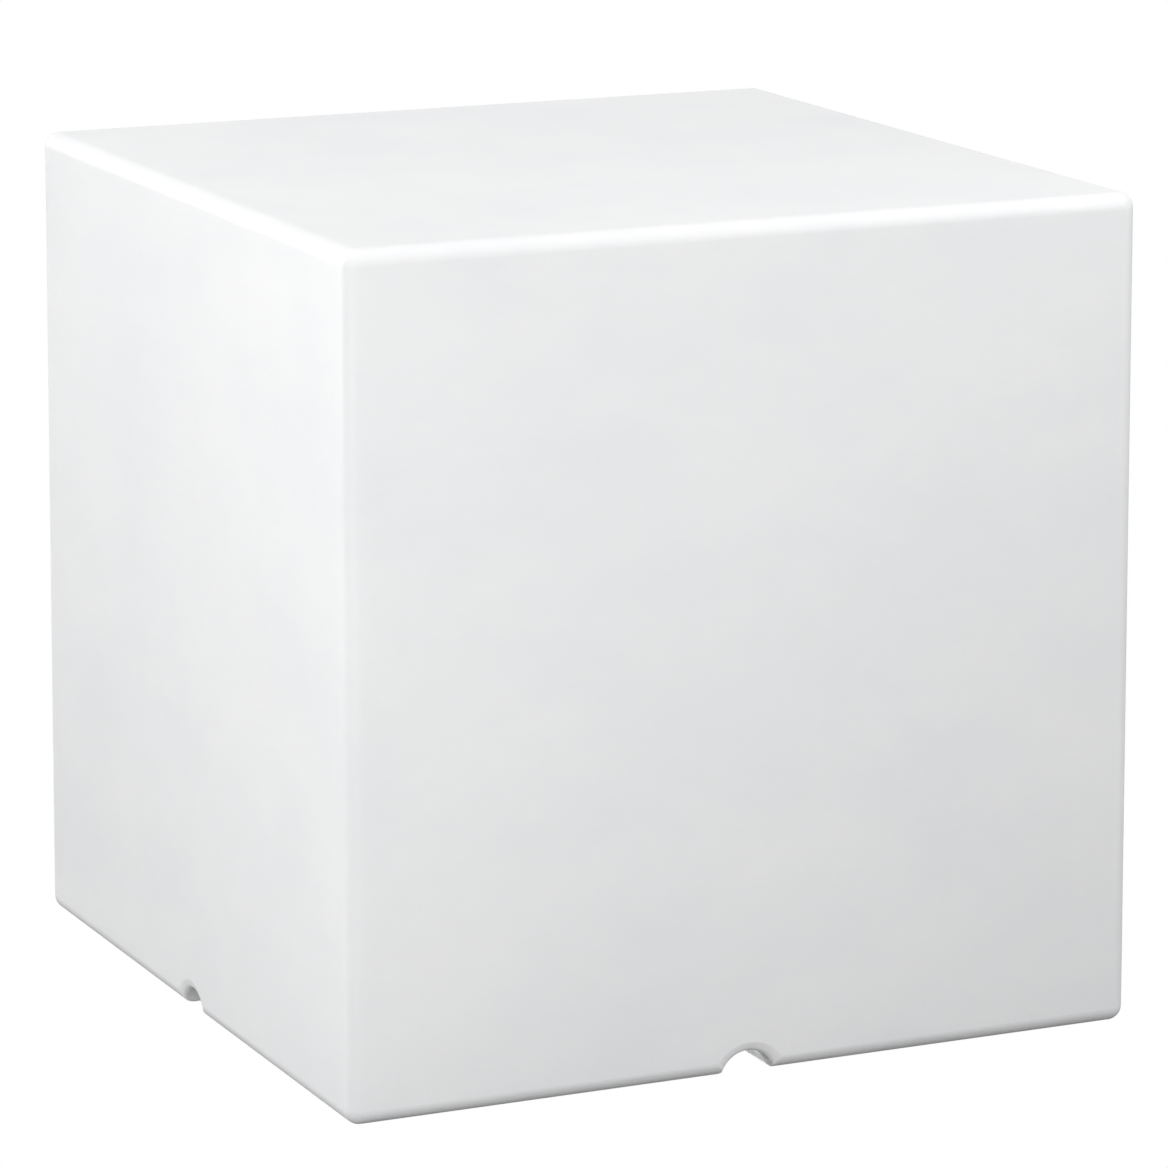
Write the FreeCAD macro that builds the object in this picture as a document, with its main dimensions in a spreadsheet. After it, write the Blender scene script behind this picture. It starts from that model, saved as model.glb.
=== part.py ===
import FreeCAD, Part
import math
import os
import Sketcher

# A cube-shaped garden light: a hollow rotomoulded polyethylene shell with cable grooves across its
# underside, and a sealed light unit that closes the round opening in the underside's recess.
# Origin: centre of the base, on the plane that the cube stands on. +Z is up, -Y is the front.

os.makedirs("parts", exist_ok=True)
doc = FreeCAD.newDocument("cube_light")
Vector = FreeCAD.Vector

# Driving dimensions in millimetres (angles in degrees), each with what it measures.
SIZES = {
    "cube_side": (400, "side of the shell at its base"),
    "cube_rise": (398.5, "height of the shell"),
    "mould_draft": (0.3, "lean of the four walls, so that the shell leaves its mould"),
    "side_count": (4, "sides of the cube, each with a mouth of a cable groove"),
    "wall": (4, "thickness of the shell's wall"),
    "edge_round": (7.2, "rounding of the shell's outer edges"),
    "groove_radius": (14.2, "radius of the cable grooves' round section"),
    "groove_rise": (10.8, "height of a cable groove's crown above the base"),
    "mouth_swell": (14, "radius of the soft swell round a groove's mouth"),
    "mouth_turn": (22, "angle that the swell turns before the lip"),
    "mouth_lip": (2.5, "radius of the lip at a groove's mouth"),
    "mouth_bite": (0.04, "how far the lip cuts into a groove's wall, so that they meet cleanly"),
    "recess_depth": (36, "depth of the recess"),
    "recess_draft": (3, "lean of the recess's wall"),
    "recess_round": (5, "rounding of the recess's inner corner"),
    "recess_lip": (4, "rounding of the recess's mouth"),
    "unit_gap": (2, "gap between the light unit's bell and the opening in the shell"),
    "flange_width": (23, "width of the light unit's flange round its bell"),
    "flange_margin": (3, "gap from the flange's edge to the recess's inner corner"),
    "gasket_thick": (2, "thickness of the foam gasket when clamped"),
    "gasket_inset": (1.5, "how far the gasket's edge lies inside the flange's edge"),
    "insert_radius": (4.5, "radius of the brass inserts"),
    "insert_length": (10, "length of the brass inserts"),
    "boss_wall": (2.5, "polyethylene round and above an insert"),
    "screw_radius": (2, "radius of the M4 screws' shanks"),
    "screw_bite": (8, "length of the M4 screws inside their inserts"),
    "screw_head_radius": (4, "radius of the M4 screws' pan heads"),
    "screw_head_rise": (2.6, "height of the M4 screws' pan heads"),
    "head_flat": (0.6, "flat middle of a screw's head, as a share of its radius"),
    "head_edge": (0.35, "straight edge of a screw's head, as a share of its height"),
    "screw_clearance": (0.25, "gap round a screw in a plain hole"),
    "thread_clearance": (0.1, "gap left round a shank in its thread"),
    "washer_radius": (4.6, "radius of the sealing washers"),
    "washer_thick": (1, "thickness of the sealing washers"),
    "screw_count": (6, "screws that hold the light unit"),
    "screw_rim": (9, "distance from the flange's edge to the screws' circle"),
    "unit_room": (2.4, "room left in the dish round the corners of the tray and the control board"),
    "bell_wall": (3, "wall of the diffuser"),
    "bell_rise": (33, "height of the bell's straight wall above its flange"),
    "shoulder_slope": (14, "width and height of the diffuser's sloping shoulder"),
    "dome_flange": (3, "thickness of the diffuser's flange"),
    "base_flange": (4, "thickness of the base's flange"),
    "floor": (3, "thickness of the base's floor"),
    "dish_drop": (5, "how far the floor hangs below the flange"),
    "dish_inset": (2, "gap from the bell's inside to the dish's inside"),
    "dish_round": (2, "bevel of the dish's lower edge"),
    "rib_count": (12, "radial ribs under the flange"),
    "rib_thick": (1.6, "thickness of a rib"),
    "rib_drop": (3, "height of a rib"),
    "seal_cord": (2.6, "side of the seal's square section"),
    "seal_squash": (0.5, "how much clamping flattens the seal"),
    "pocket_length": (88, "length of the control pocket in the floor"),
    "pocket_width": (26, "width of the control pocket"),
    "pocket_rise": (5, "depth of the control pocket"),
    "panel_offset": (19, "distance of the controls' line from the middle"),
    "button_place": (-22, "place of the button along the pocket"),
    "button_radius": (7.5, "radius of the button"),
    "button_proud": (3.2, "how far the button stands out of the pocket's roof"),
    "button_rim": (1.6, "width of the button's retaining rim"),
    "button_rim_thick": (1.5, "thickness of the button's retaining rim"),
    "button_clearance": (0.25, "gap round the button in its hole"),
    "button_dish": (0.8, "depth of the finger dish in the button"),
    "button_bevel": (1, "bevel of the button's edge"),
    "button_travel": (1.5, "how far the button goes in"),
    "ring_cord": (1.4, "side of the button's sealing ring, square in section"),
    "ring_gap": (0.1, "gap left round the button's sealing ring"),
    "plunger_radius": (1.7, "radius of the switch's plunger"),
    "plunger_reach": (3, "how far the plunger stands out of the switch"),
    "plunger_engaged": (2, "length of plunger inside the switch"),
    "plunger_clearance": (0.2, "gap round the plunger"),
    "switch_side": (8.5, "side of the switch's body"),
    "switch_rise": (5.5, "height of the switch's body"),
    "socket_place": (16, "place of the charging socket along the pocket"),
    "socket_rim": (1.5, "width of the socket's flange round its bush"),
    "socket_flange_thick": (1.5, "thickness of the socket's flange"),
    "socket_bush": (6, "radius of the socket's threaded bush"),
    "socket_bore": (3, "radius of the hole that takes the charging plug"),
    "socket_bore_depth": (10, "depth of the hole that takes the charging plug"),
    "socket_pin": (1.05, "radius of the socket's centre pin"),
    "socket_pin_inset": (4.2, "how far the pin's tip lies inside the socket's mouth"),
    "socket_seal_thick": (0.8, "thickness of the socket's seal"),
    "nut_sides": (6, "sides of the socket nut"),
    "nut_wall": (1.4, "wall of the socket nut at its flats"),
    "nut_thick": (2.5, "thickness of the socket nut"),
    "cover_overhang": (1, "how far the port cover's disc reaches past the socket's flange"),
    "cover_thick": (2.4, "thickness of the port cover's disc"),
    "cover_gap": (0.2, "gap between the port cover and the socket's flange"),
    "stub_clearance": (0.3, "gap round the port cover's stub in the socket"),
    "stub_taper": (0.8, "how much less the stub's radius is at its tip than at its root"),
    "stub_length": (3, "length of the port cover's stub"),
    "tab_length": (3, "length of the port cover's pull tab"),
    "tab_width": (6, "width of the pull tab and of the tether"),
    "tether_thick": (1.4, "thickness of the tether"),
    "tether_reach": (2.5, "distance from the disc's edge to the tether's bend"),
    "tether_gap": (0.4, "gap at the tether's bend"),
    "anchor_reach": (6, "distance from the tether's bend to its anchor"),
    "anchor_radius": (3.5, "radius of the anchor's pad"),
    "anchor_stem": (1.5, "radius of the anchor's stem in its hole"),
    "anchor_bulb": (2.3, "radius of the anchor's bulb"),
    "anchor_bulb_rise": (2.2, "height of the anchor's bulb"),
    "pipe_radius": (1.6, "radius of the charge light's pipe"),
    "pipe_head": (2.7, "radius of the pipe's lens"),
    "pipe_head_thick": (0.8, "thickness of the pipe's lens"),
    "pipe_gap": (0.4, "gap between the pipe and the charge light"),
    "status_side": (3, "side of the charge light"),
    "status_rise": (1.4, "height of the charge light"),
    "board_length": (88, "length of the control board"),
    "board_width": (46, "width of the control board"),
    "board_thick": (1.6, "thickness of the circuit boards"),
    "post_radius": (3.5, "radius of the control board's posts"),
    "post_inset": (4.5, "distance of the posts from the control board's edges"),
    "small_screw": (1.25, "radius of the small screws' shanks"),
    "small_screw_length": (8, "length of the small screws under their heads"),
    "small_head": (2.5, "radius of the small screws' heads"),
    "small_head_rise": (1.8, "height of the small screws' heads"),
    "lamp_board_gap": (5, "gap between the lamp board and the bell"),
    "lamp_board_level": (29, "height of the lamp board above the flange's joint"),
    "lamp_post_radius": (4, "radius of the lamp board's posts"),
    "lamp_post_inset": (5, "distance of the lamp board's posts from its edge"),
    "lamp_post_count": (3, "posts that carry the lamp board"),
    "chip_side": (5, "side of a light-emitting chip"),
    "chip_rise": (1.6, "height of a light-emitting chip"),
    "inner_ring": (24, "radius of the inner ring of chips"),
    "inner_count": (8, "chips in the inner ring"),
    "outer_ring_inset": (15, "distance of the outer ring of chips from the lamp board's edge"),
    "outer_count": (16, "chips in the outer ring"),
    "receiver_width": (6, "width of the remote-control receiver"),
    "receiver_depth": (5, "depth of the remote-control receiver"),
    "receiver_rise": (7, "height of the remote-control receiver"),
    "cell_radius": (9.2, "radius of a battery cell"),
    "cell_length": (65, "length of a battery cell"),
    "cell_space": (0.8, "gap between the two cells"),
    "battery_gap": (5.2, "gap between the battery tray and the control board, seen from above"),
    "contact_thick": (0.8, "thickness of the battery's contact plates"),
    "contact_width": (9, "width of the battery's contact plates"),
    "contact_rise": (11, "height of the battery's contact plates"),
    "tray_wall": (1.6, "wall of the battery tray"),
    "tray_rise": (12, "height of the battery tray"),
    "tray_clearance": (0.4, "gap between the cells and the tray's long walls"),
    "strap_width": (12, "width of the battery strap"),
    "strap_thick": (1, "thickness of the battery strap"),
    "strap_foot": (8, "length of the battery strap's feet"),
    "strap_gap": (0.3, "gap between the strap and what it goes round"),
    "foot_boss": (2, "height of the seats under the strap's feet"),
    "chip_case": (7, "side of the control board's chips"),
    "chip_case_rise": (1.6, "height of the control board's chips"),
    "choke_radius": (5.5, "radius of the choke"),
    "choke_waist": (3.5, "radius of the choke's winding core"),
    "choke_rise": (7, "height of the choke"),
    "choke_flange": (1.4, "thickness of the choke's end discs"),
    "capacitor_radius": (4, "radius of the capacitors"),
    "capacitor_rise": (9.5, "height of the capacitors"),
    "plug_length": (9, "length of the lead connectors"),
    "plug_width": (6, "width of the lead connectors"),
    "plug_rise": (6, "height of the lead connectors"),
    "lead_radius": (1.3, "radius of the lamp board's sleeved lead"),
    "lead_width": (5, "width of the flat battery lead"),
    "lead_thick": (1.6, "thickness of the flat battery lead"),
    "lead_bend": (1.6, "inner bend radius of the flat battery lead"),
    "lead_inset": (10, "distance of the battery lead's middle from the tray's end"),
    "vent_gap": (15, "distance of the breather's middle from the battery tray's end"),
    "vent_inset": (5, "distance of the breather's middle from the control board, seen from above"),
    "vent_radius": (4, "radius of the breather's stem"),
    "vent_head": (6, "radius of the breather's head"),
    "vent_head_thick": (1.5, "thickness of the breather's head"),
    "vent_barb": (4.6, "radius of the breather's barb"),
    "vent_barb_rise": (1.6, "height of the breather's barb"),
    "fit_gap": (0.1, "gap of the small parts that are pushed into holes"),
    "small_bevel": (0.5, "bevel of the small turned parts"),
    "strap_bite": (3, "length of the battery strap's screws inside their seats"),
    "pilot_spare": (0.5, "how much deeper than a strap screw its hole is"),
    "tag_length": (1.5, "length of the socket's solder tags"),
    "tag_width": (2, "width of the socket's solder tags"),
    "tag_thick": (0.5, "thickness of the socket's solder tags"),
    "tag_spread": (6, "distance between the socket's solder tags"),
}

FULL_TURN = 360
TOUCHING = 0.001  # two places this close are the same place

sheet = doc.addObject("Spreadsheet::Sheet", "Sizes")
for row, (name, (number, meaning)) in enumerate(SIZES.items(), start=1):
    sheet.set(f"A{row}", str(number))
    sheet.setAlias(f"A{row}", name)
    sheet.set(f"B{row}", meaning)
doc.recompute()


def size(name):
    """The expression that reads one driving dimension."""
    assert name in SIZES, name
    return f"Sizes.{name}"


def value(text):
    """The number that an expression gives now."""
    result = sheet.evalExpression(str(text))
    return float(getattr(result, "Value", result))


def bind(thing, **properties):
    """Tie properties of a feature to expressions on the sheet."""
    for name, text in properties.items():
        thing.setExpression(name, str(text))


def place(thing, x="0", y="0", z="0"):
    """Tie the position of a feature to expressions on the sheet."""
    for axis, text in zip("xyz", (x, y, z)):
        thing.setExpression(f"Placement.Base.{axis}", str(text))


# Sketches and body features

def origin_plane(body, role):
    return next(plane for plane in body.Origin.OriginFeatures if plane.Role == role)


def new_sketch(body, role, name, offset="0"):
    """A sketch on an origin plane of its body, moved along the plane's normal."""
    sketch = body.newObject("Sketcher::SketchObject", name)
    sketch.AttachmentSupport = [(origin_plane(body, role), "")]
    sketch.MapMode = "FlatFace"
    sketch.setExpression("AttachmentOffset.Base.z", str(offset))
    return sketch


def hold(sketch, kind, text, *where):
    """Add a dimension and tie it to an expression."""
    index = sketch.addConstraint(Sketcher.Constraint(kind, *where, value(text)))
    sketch.setExpression(f"Constraints[{index}]", str(text))


def hold_point(sketch, element, end, x, y):
    hold(sketch, "DistanceX", x, element, end)
    hold(sketch, "DistanceY", y, element, end)


def draw_circle(sketch, radius, x="0", y="0"):
    centre = Vector(value(x), value(y), 0)
    index = sketch.addGeometry(Part.Circle(centre, Vector(0, 0, 1), value(radius)))
    hold_point(sketch, index, 3, x, y)
    hold(sketch, "Radius", radius, index)


def draw_outline(sketch, corners, arcs=None):
    """A closed outline. Side number i, from corner i to the next, is an arc where arcs[i] gives
    a dimension (the arc's Radius, or its centre's DistanceX or DistanceY), that dimension's
    expression and a point that the arc goes through."""
    arcs = arcs or {}
    points = [Vector(value(x), value(y), 0) for x, y in corners]
    ends = []
    for number, start in enumerate(points):
        finish = points[(number + 1) % len(points)]
        if number in arcs:
            kind, text, middle = arcs[number]
            through = Vector(value(middle[0]), value(middle[1]), 0)
            index = sketch.addGeometry(Part.Arc(start, through, finish))
            first = 1 if sketch.getPoint(index, 1).distanceToPoint(start) < TOUCHING else 2
            hold(sketch, kind, text, index, *([] if kind == "Radius" else [3]))
        else:
            index = sketch.addGeometry(Part.LineSegment(start, finish))
            first = 1
        ends.append((index, first))
    for number, (index, first) in enumerate(ends):
        before, before_first = ends[number - 1]
        joint = Sketcher.Constraint("Coincident", before, 3 - before_first, index, first)
        sketch.addConstraint(joint)
        hold_point(sketch, index, first, *corners[number])


def draw_rectangle(sketch, x0, y0, x1, y1):
    draw_outline(sketch, [(x0, y0), (x1, y0), (x1, y1), (x0, y1)])


def draw_slot(sketch, length, width, x="0", y="0"):
    """A slot with round ends, its length along the sketch's x, centred on (x, y)."""
    reach = f"({length} - {width}) / 2"
    half = f"({width}) / 2"
    corners = [
        (f"{x} - {reach}", f"{y} - {half}"),
        (f"{x} + {reach}", f"{y} - {half}"),
        (f"{x} + {reach}", f"{y} + {half}"),
        (f"{x} - {reach}", f"{y} + {half}"),
    ]
    tips = {
        1: ("DistanceX", f"{x} + {reach}", (f"{x} + ({length}) / 2", y)),
        3: ("DistanceX", f"{x} - {reach}", (f"{x} - ({length}) / 2", y)),
    }
    draw_outline(sketch, corners, tips)


def new_body(name):
    return doc.addObject("PartDesign::Body", name)


def pad(sketch, length, downward=False, both_ways=False):
    """Material from a sketch, along its normal or against it."""
    feature = sketch.getParentGeoFeatureGroup().newObject("PartDesign::Pad", sketch.Name + "_pad")
    feature.Profile = sketch
    bind(feature, Length=length)
    feature.Reversed = downward
    feature.SideType = "Symmetric" if both_ways else "One side"
    sketch.Visibility = False
    doc.recompute()
    return feature


def pocket(sketch, depth, upward=False, both_ways=False):
    """A cut from a sketch, against its normal or along it, which must take material away."""
    body = sketch.getParentGeoFeatureGroup()
    before = body.Shape.Volume
    feature = body.newObject("PartDesign::Pocket", sketch.Name + "_pocket")
    feature.Profile = sketch
    bind(feature, Length=depth)
    feature.Reversed = upward
    feature.SideType = "Symmetric" if both_ways else "One side"
    doc.recompute()
    assert body.Shape.Volume < before, feature.Label
    return feature


def revolve(sketch, cut=False):
    """Material, or a cut, turned about the sketch's own vertical axis."""
    body = sketch.getParentGeoFeatureGroup()
    kind = "PartDesign::Groove" if cut else "PartDesign::Revolution"
    before = body.Shape.Volume if cut else 0
    feature = body.newObject(kind, sketch.Name + "_turned")
    feature.Profile = sketch
    feature.ReferenceAxis = (sketch, ["V_Axis"])
    feature.Angle = FULL_TURN
    doc.recompute()
    assert not cut or body.Shape.Volume < before, feature.Label
    return feature


def edges_where(shape, test):
    """Names of the edges whose middle point and box pass a test."""
    names = []
    for number, edge in enumerate(shape.Edges, start=1):
        middle = edge.valueAt((edge.FirstParameter + edge.LastParameter) / 2)
        if test(middle, edge.BoundBox):
            names.append(f"Edge{number}")
    return names


def ease(body, kind, amount, test):
    """Fillet or chamfer the edges of a body that pass a test."""
    names = edges_where(body.Tip.Shape, test)
    assert names, f"no edge to ease on {body.Label}"
    feature = body.newObject(f"PartDesign::{kind}", f"{body.Name}_{kind.lower()}")
    feature.Base = (body.Group[body.Group.index(feature) - 1], names)
    bind(feature, **{"Radius" if kind == "Fillet" else "Size": amount})
    doc.recompute()
    return feature


def ring_pattern(body, feature, count):
    """Repeat a feature of a body evenly round its vertical axis."""
    pattern = body.newObject("PartDesign::PolarPattern", feature.Name + "_ring")
    pattern.Originals = [feature]
    pattern.Axis = (next(a for a in body.Origin.OriginFeatures if a.Role == "Z_Axis"), [""])
    pattern.Angle = FULL_TURN
    bind(pattern, Occurrences=count)
    body.Tip = pattern
    doc.recompute()
    return pattern


# Whole parts from primitives

def cylinder(name, radius, rise, x="0", y="0", z="0"):
    thing = doc.addObject("Part::Cylinder", name)
    bind(thing, Radius=radius, Height=rise)
    place(thing, x, y, z)
    return thing


def block(name, length, width, rise, x="0", y="0", z="0"):
    """A box centred on (x, y) whose underside lies at z."""
    thing = doc.addObject("Part::Box", name)
    bind(thing, Length=length, Width=width, Height=rise)
    place(thing, f"{x} - ({length}) / 2", f"{y} - ({width}) / 2", z)
    return thing


def cut(name, base, tool):
    thing = doc.addObject("Part::Cut", name)
    thing.Base = base
    thing.Tool = tool
    return thing


def fuse(name, parts):
    thing = doc.addObject("Part::MultiFuse", name)
    thing.Shapes = parts
    return thing


def copies(name, master, spots):
    """One node that holds a copy of a part at each spot, given as (x, y, z, turn)."""
    doc.recompute()
    solids = []
    for x, y, z, turn in spots:
        solid = master.Shape.copy()
        solid.Placement = FreeCAD.Placement(Vector(x, y, z), FreeCAD.Rotation(Vector(0, 0, 1), turn))
        solids.append(solid)
    thing = doc.addObject("Part::Feature", name)
    thing.Shape = Part.makeCompound(solids)
    return thing


def ring_spots(count, radius, z):
    """Places evenly round the vertical axis, each turned to face outward."""
    spots = []
    for number in range(count):
        turn = number * FULL_TURN / count
        angle = math.radians(turn)
        spots.append((radius * math.cos(angle), radius * math.sin(angle), z, turn))
    return spots


# Levels and radii that several parts share, as expressions

DECK = size("recess_depth")
DOME_FLANGE_TOP = f"({DECK} - {size('gasket_thick')})"
JOINT = f"({DOME_FLANGE_TOP} - {size('dome_flange')})"
FLANGE_UNDER = f"({JOINT} - {size('base_flange')})"
DISH_UNDER = f"({FLANGE_UNDER} - {size('dish_drop')})"
FLOOR_TOP = f"({DISH_UNDER} + {size('floor')})"
ROOF_UNDER = f"({DISH_UNDER} + {size('pocket_rise')})"
ROOF_TOP = f"({ROOF_UNDER} + {size('floor')})"

PANEL = size("panel_offset")
TRAY_INSIDE_LENGTH = f"({size('cell_length')} + 2 * {size('contact_thick')})"
TRAY_LENGTH = f"({TRAY_INSIDE_LENGTH} + 2 * {size('tray_wall')})"
TRAY_INSIDE_WIDTH = f"(4 * {size('cell_radius')} + {size('cell_space')} + 2 * {size('tray_clearance')})"
TRAY_WIDTH = f"({TRAY_INSIDE_WIDTH} + 2 * {size('tray_wall')})"
TRAY_EDGE = f"({PANEL} - {size('board_width')} / 2 - {size('battery_gap')})"
CELLS_MIDDLE = f"({TRAY_EDGE} - {TRAY_WIDTH} / 2)"
TRAY_CORNER = f"sqrt(({TRAY_LENGTH} / 2) ^ 2 + ({TRAY_EDGE} - {TRAY_WIDTH}) ^ 2)"
BOARD_CORNER = f"sqrt(({size('board_length')} / 2) ^ 2 + ({PANEL} + {size('board_width')} / 2) ^ 2)"

DISH_INSIDE = f"(max({TRAY_CORNER}; {BOARD_CORNER}) + {size('unit_room')})"
BELL_INSIDE = f"({DISH_INSIDE} + {size('dish_inset')})"
BELL_RADIUS = f"({BELL_INSIDE} + {size('bell_wall')})"
LAMP_BOARD_RADIUS = f"({BELL_INSIDE} - {size('lamp_board_gap')})"
OPENING_RADIUS = f"({BELL_RADIUS} + {size('unit_gap')})"
FLANGE_RADIUS = f"({BELL_RADIUS} + {size('flange_width')})"
SCREW_CIRCLE = f"({FLANGE_RADIUS} - {size('screw_rim')})"
RECESS_SHRINK = f"({size('recess_depth')} * tan({size('recess_draft')} * 1 deg))"
RECESS_RADIUS = f"({FLANGE_RADIUS} + {size('flange_margin')} + {size('recess_round')} + {RECESS_SHRINK})"
SCREW_HOLE = f"({size('screw_radius')} + {size('screw_clearance')})"
GROOVE_CENTRE = f"({size('groove_rise')} - {size('groove_radius')})"

BUTTON_RIM_TOP = f"({ROOF_TOP} + {size('button_rim_thick')})"
SWITCH_UNDER = f"({BUTTON_RIM_TOP} + {size('plunger_reach')})"
BOARD_UNDER = f"({SWITCH_UNDER} + {size('switch_rise')})"
BOARD_TOP = f"({BOARD_UNDER} + {size('board_thick')})"
LAMP_BOARD_UNDER = f"({JOINT} + {size('lamp_board_level')})"
LAMP_BOARD_TOP = f"({LAMP_BOARD_UNDER} + {size('board_thick')})"

SOCKET_FLANGE = f"({size('socket_bush')} + {size('socket_rim')})"
SOCKET_TOP = f"({BOARD_UNDER} - {size('tag_length')})"
COVER_RADIUS = f"({SOCKET_FLANGE} + {size('cover_overhang')})"
BEND_PLACE = f"({size('socket_place')} + {COVER_RADIUS} + {size('tether_reach')})"
ANCHOR_PLACE = f"({BEND_PLACE} + {size('anchor_reach')})"


# The shell, moulded in one piece: leaning walls of even thickness, rounded edges, a groove across
# the base in each direction with flared mouths, and a round recess in the middle.

def leaning_block(body, inset, edge_round):
    """A block with the shell's leaning walls, inset from its surface on every side."""
    lean = f"({inset} * tan({size('mould_draft')} * 1 deg))"
    half = f"({size('cube_side')} / 2 - {inset} - {lean})"
    sketch = new_sketch(body, "XY_Plane", body.Name + "_plan", inset)
    draw_rectangle(sketch, f"-{half}", f"-{half}", half, half)
    straight = pad(sketch, f"{size('cube_rise')} - 2 * {inset}")
    walls = [f"Face{number}" for number, face in enumerate(straight.Shape.Faces, start=1)
             if abs(face.normalAt(0, 0).z) < TOUCHING]
    draft = body.newObject("PartDesign::Draft", body.Name + "_draft")
    draft.Base = (straight, walls)
    draft.NeutralPlane = (sketch, [""])
    bind(draft, Angle=size("mould_draft"))
    doc.recompute()
    ease(body, "Fillet", edge_round, lambda middle, box: True)


def cable_grooves(body, extra):
    """Cut the two crossing grooves, or the room for their ridges where extra makes them larger."""
    for role in ("XZ_Plane", "YZ_Plane"):
        sketch = new_sketch(body, role, f"{body.Name}_groove_{role[:2]}")
        draw_circle(sketch, f"{size('groove_radius')} + {extra}", "0", GROOVE_CENTRE)
        pocket(sketch, f"{size('cube_side')} * 2", both_ways=True)


def groove_mouths(body):
    """Flare the four mouths of the grooves: a soft swell that turns into a small lip, revolved
    about an axis square to each wall."""
    sketch = new_sketch(body, "XY_Plane", body.Name + "_mouth", GROOVE_CENTRE)
    tilt = FreeCAD.Rotation(Vector(1, 0, 0), -value(size("mould_draft")))
    sketch.AttachmentOffset = FreeCAD.Placement(sketch.AttachmentOffset.Base, tilt)
    lean = f"{GROOVE_CENTRE} * tan({size('mould_draft')} * 1 deg)"
    sketch.setExpression("AttachmentOffset.Base.y", f"{lean} - {size('cube_side')} / 2")
    sketch.setExpression("AttachmentOffset.Rotation.Angle", f"{size('mould_draft')} * 1 deg")
    swell = size("mouth_swell")
    lip = size("mouth_lip")
    turn = size("mouth_turn")
    lip_x = f"({size('groove_radius')} - {size('mouth_bite')} + {lip})"
    wide = f"({lip_x} + ({swell} - {lip}) * sin({turn} * 1 deg))"
    lip_y = f"({swell} - ({swell} - {lip}) * cos({turn} * 1 deg))"
    bisector = f"(45 deg + {turn} * 0.5 deg)"
    draw_outline(sketch, [
        ("0", f"-{swell}"), (wide, f"-{swell}"), (wide, "0"),
        (f"{wide} - {swell} * sin({turn} * 1 deg)", f"{swell} - {swell} * cos({turn} * 1 deg)"),
        (f"{lip_x} - {lip}", lip_y), ("0", lip_y),
    ], {
        2: ("Radius", swell, (f"{wide} - {swell} * sin({turn} * 0.5 deg)",
                              f"{swell} - {swell} * cos({turn} * 0.5 deg)")),
        3: ("Radius", lip, (f"{lip_x} - {lip} * sin{bisector}", f"{lip_y} - {lip} * cos{bisector}")),
    })
    ring_pattern(body, revolve(sketch, cut=True), size("side_count"))


def round_recess(body, extra):
    """Cut the round recess, or the room for its wall where extra makes it larger."""
    sketch = new_sketch(body, "XZ_Plane", body.Name + "_recess")
    draft = f"({size('recess_draft')} * 1 deg)"
    foot = f"({RECESS_RADIUS} + {extra})"
    top = f"({DECK} + {extra})"
    corner = f"({size('recess_round')} + {extra})"
    lip = size("recess_lip")
    centre = f"({foot} - {lip} * tan{draft} + {lip} / cos{draft})"
    chord = f"({lip} * sqrt(0.5))"
    draw_outline(sketch, [
        ("0", f"-{lip}"), (centre, f"-{lip}"), (centre, "0"),
        (f"{centre} - {lip} * cos{draft}", f"{lip} - {lip} * sin{draft}"),
        (f"{foot} - ({top} - {corner}) * tan{draft}", f"{top} - {corner}"),
        (f"{foot} - {top} * tan{draft} - {corner}", top), ("0", top),
    ], {2: ("Radius", lip, (f"{centre} - {chord}", f"{lip} - {chord}"))})
    revolve(sketch, cut=True)


def make_shell():
    outer = new_body("shell_outside")
    leaning_block(outer, "0", size("edge_round"))
    cable_grooves(outer, "0")
    groove_mouths(outer)
    round_recess(outer, "0")
    opening = new_sketch(outer, "XY_Plane", "shell_opening", DECK)
    draw_circle(opening, OPENING_RADIUS)
    pocket(opening, f"{size('wall')} * 2", upward=True)
    seat = new_sketch(outer, "XY_Plane", "insert_seat", DECK)
    draw_circle(seat, size("insert_radius"), SCREW_CIRCLE)
    ring_pattern(outer, pocket(seat, size("insert_length"), upward=True), size("screw_count"))

    hollow = new_body("shell_hollow")
    wall = size("wall")
    leaning_block(hollow, wall, f"{size('edge_round')} - {wall}")
    cable_grooves(hollow, wall)
    round_recess(hollow, wall)
    boss = new_sketch(hollow, "XY_Plane", "insert_boss", DECK)
    draw_circle(boss, f"{size('insert_radius')} + {size('boss_wall')}", SCREW_CIRCLE)
    bosses = pocket(boss, f"{size('insert_length')} + {size('boss_wall')}", upward=True)
    ring_pattern(hollow, bosses, size("screw_count"))
    cut("cube_shell", outer, hollow)


def make_inserts():
    insert = new_body("insert_master")
    sketch = new_sketch(insert, "XY_Plane", "insert_plan")
    draw_circle(sketch, size("insert_radius"))
    draw_circle(sketch, f"{size('screw_radius')} + {size('thread_clearance')}")
    pad(sketch, size("insert_length"))
    count = int(value(size("screw_count")))
    copies("thread_inserts", insert, ring_spots(count, value(SCREW_CIRCLE), value(DECK)))


# The stack that closes the opening: gasket, diffuser, seal, base, washers and screws.

def screw_holes(body, level, depth):
    sketch = new_sketch(body, "XY_Plane", body.Name + "_screw_hole", level)
    draw_circle(sketch, SCREW_HOLE, SCREW_CIRCLE)
    hole = pocket(sketch, depth, upward=True)
    ring_pattern(body, hole, size("screw_count"))


def make_gasket():
    body = new_body("foam_gasket")
    sketch = new_sketch(body, "XY_Plane", "gasket_plan", DOME_FLANGE_TOP)
    draw_circle(sketch, f"{FLANGE_RADIUS} - {size('gasket_inset')}")
    draw_circle(sketch, f"{OPENING_RADIUS} + {size('gasket_inset')}")
    pad(sketch, size("gasket_thick"))
    screw_holes(body, DOME_FLANGE_TOP, size("gasket_thick"))


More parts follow.
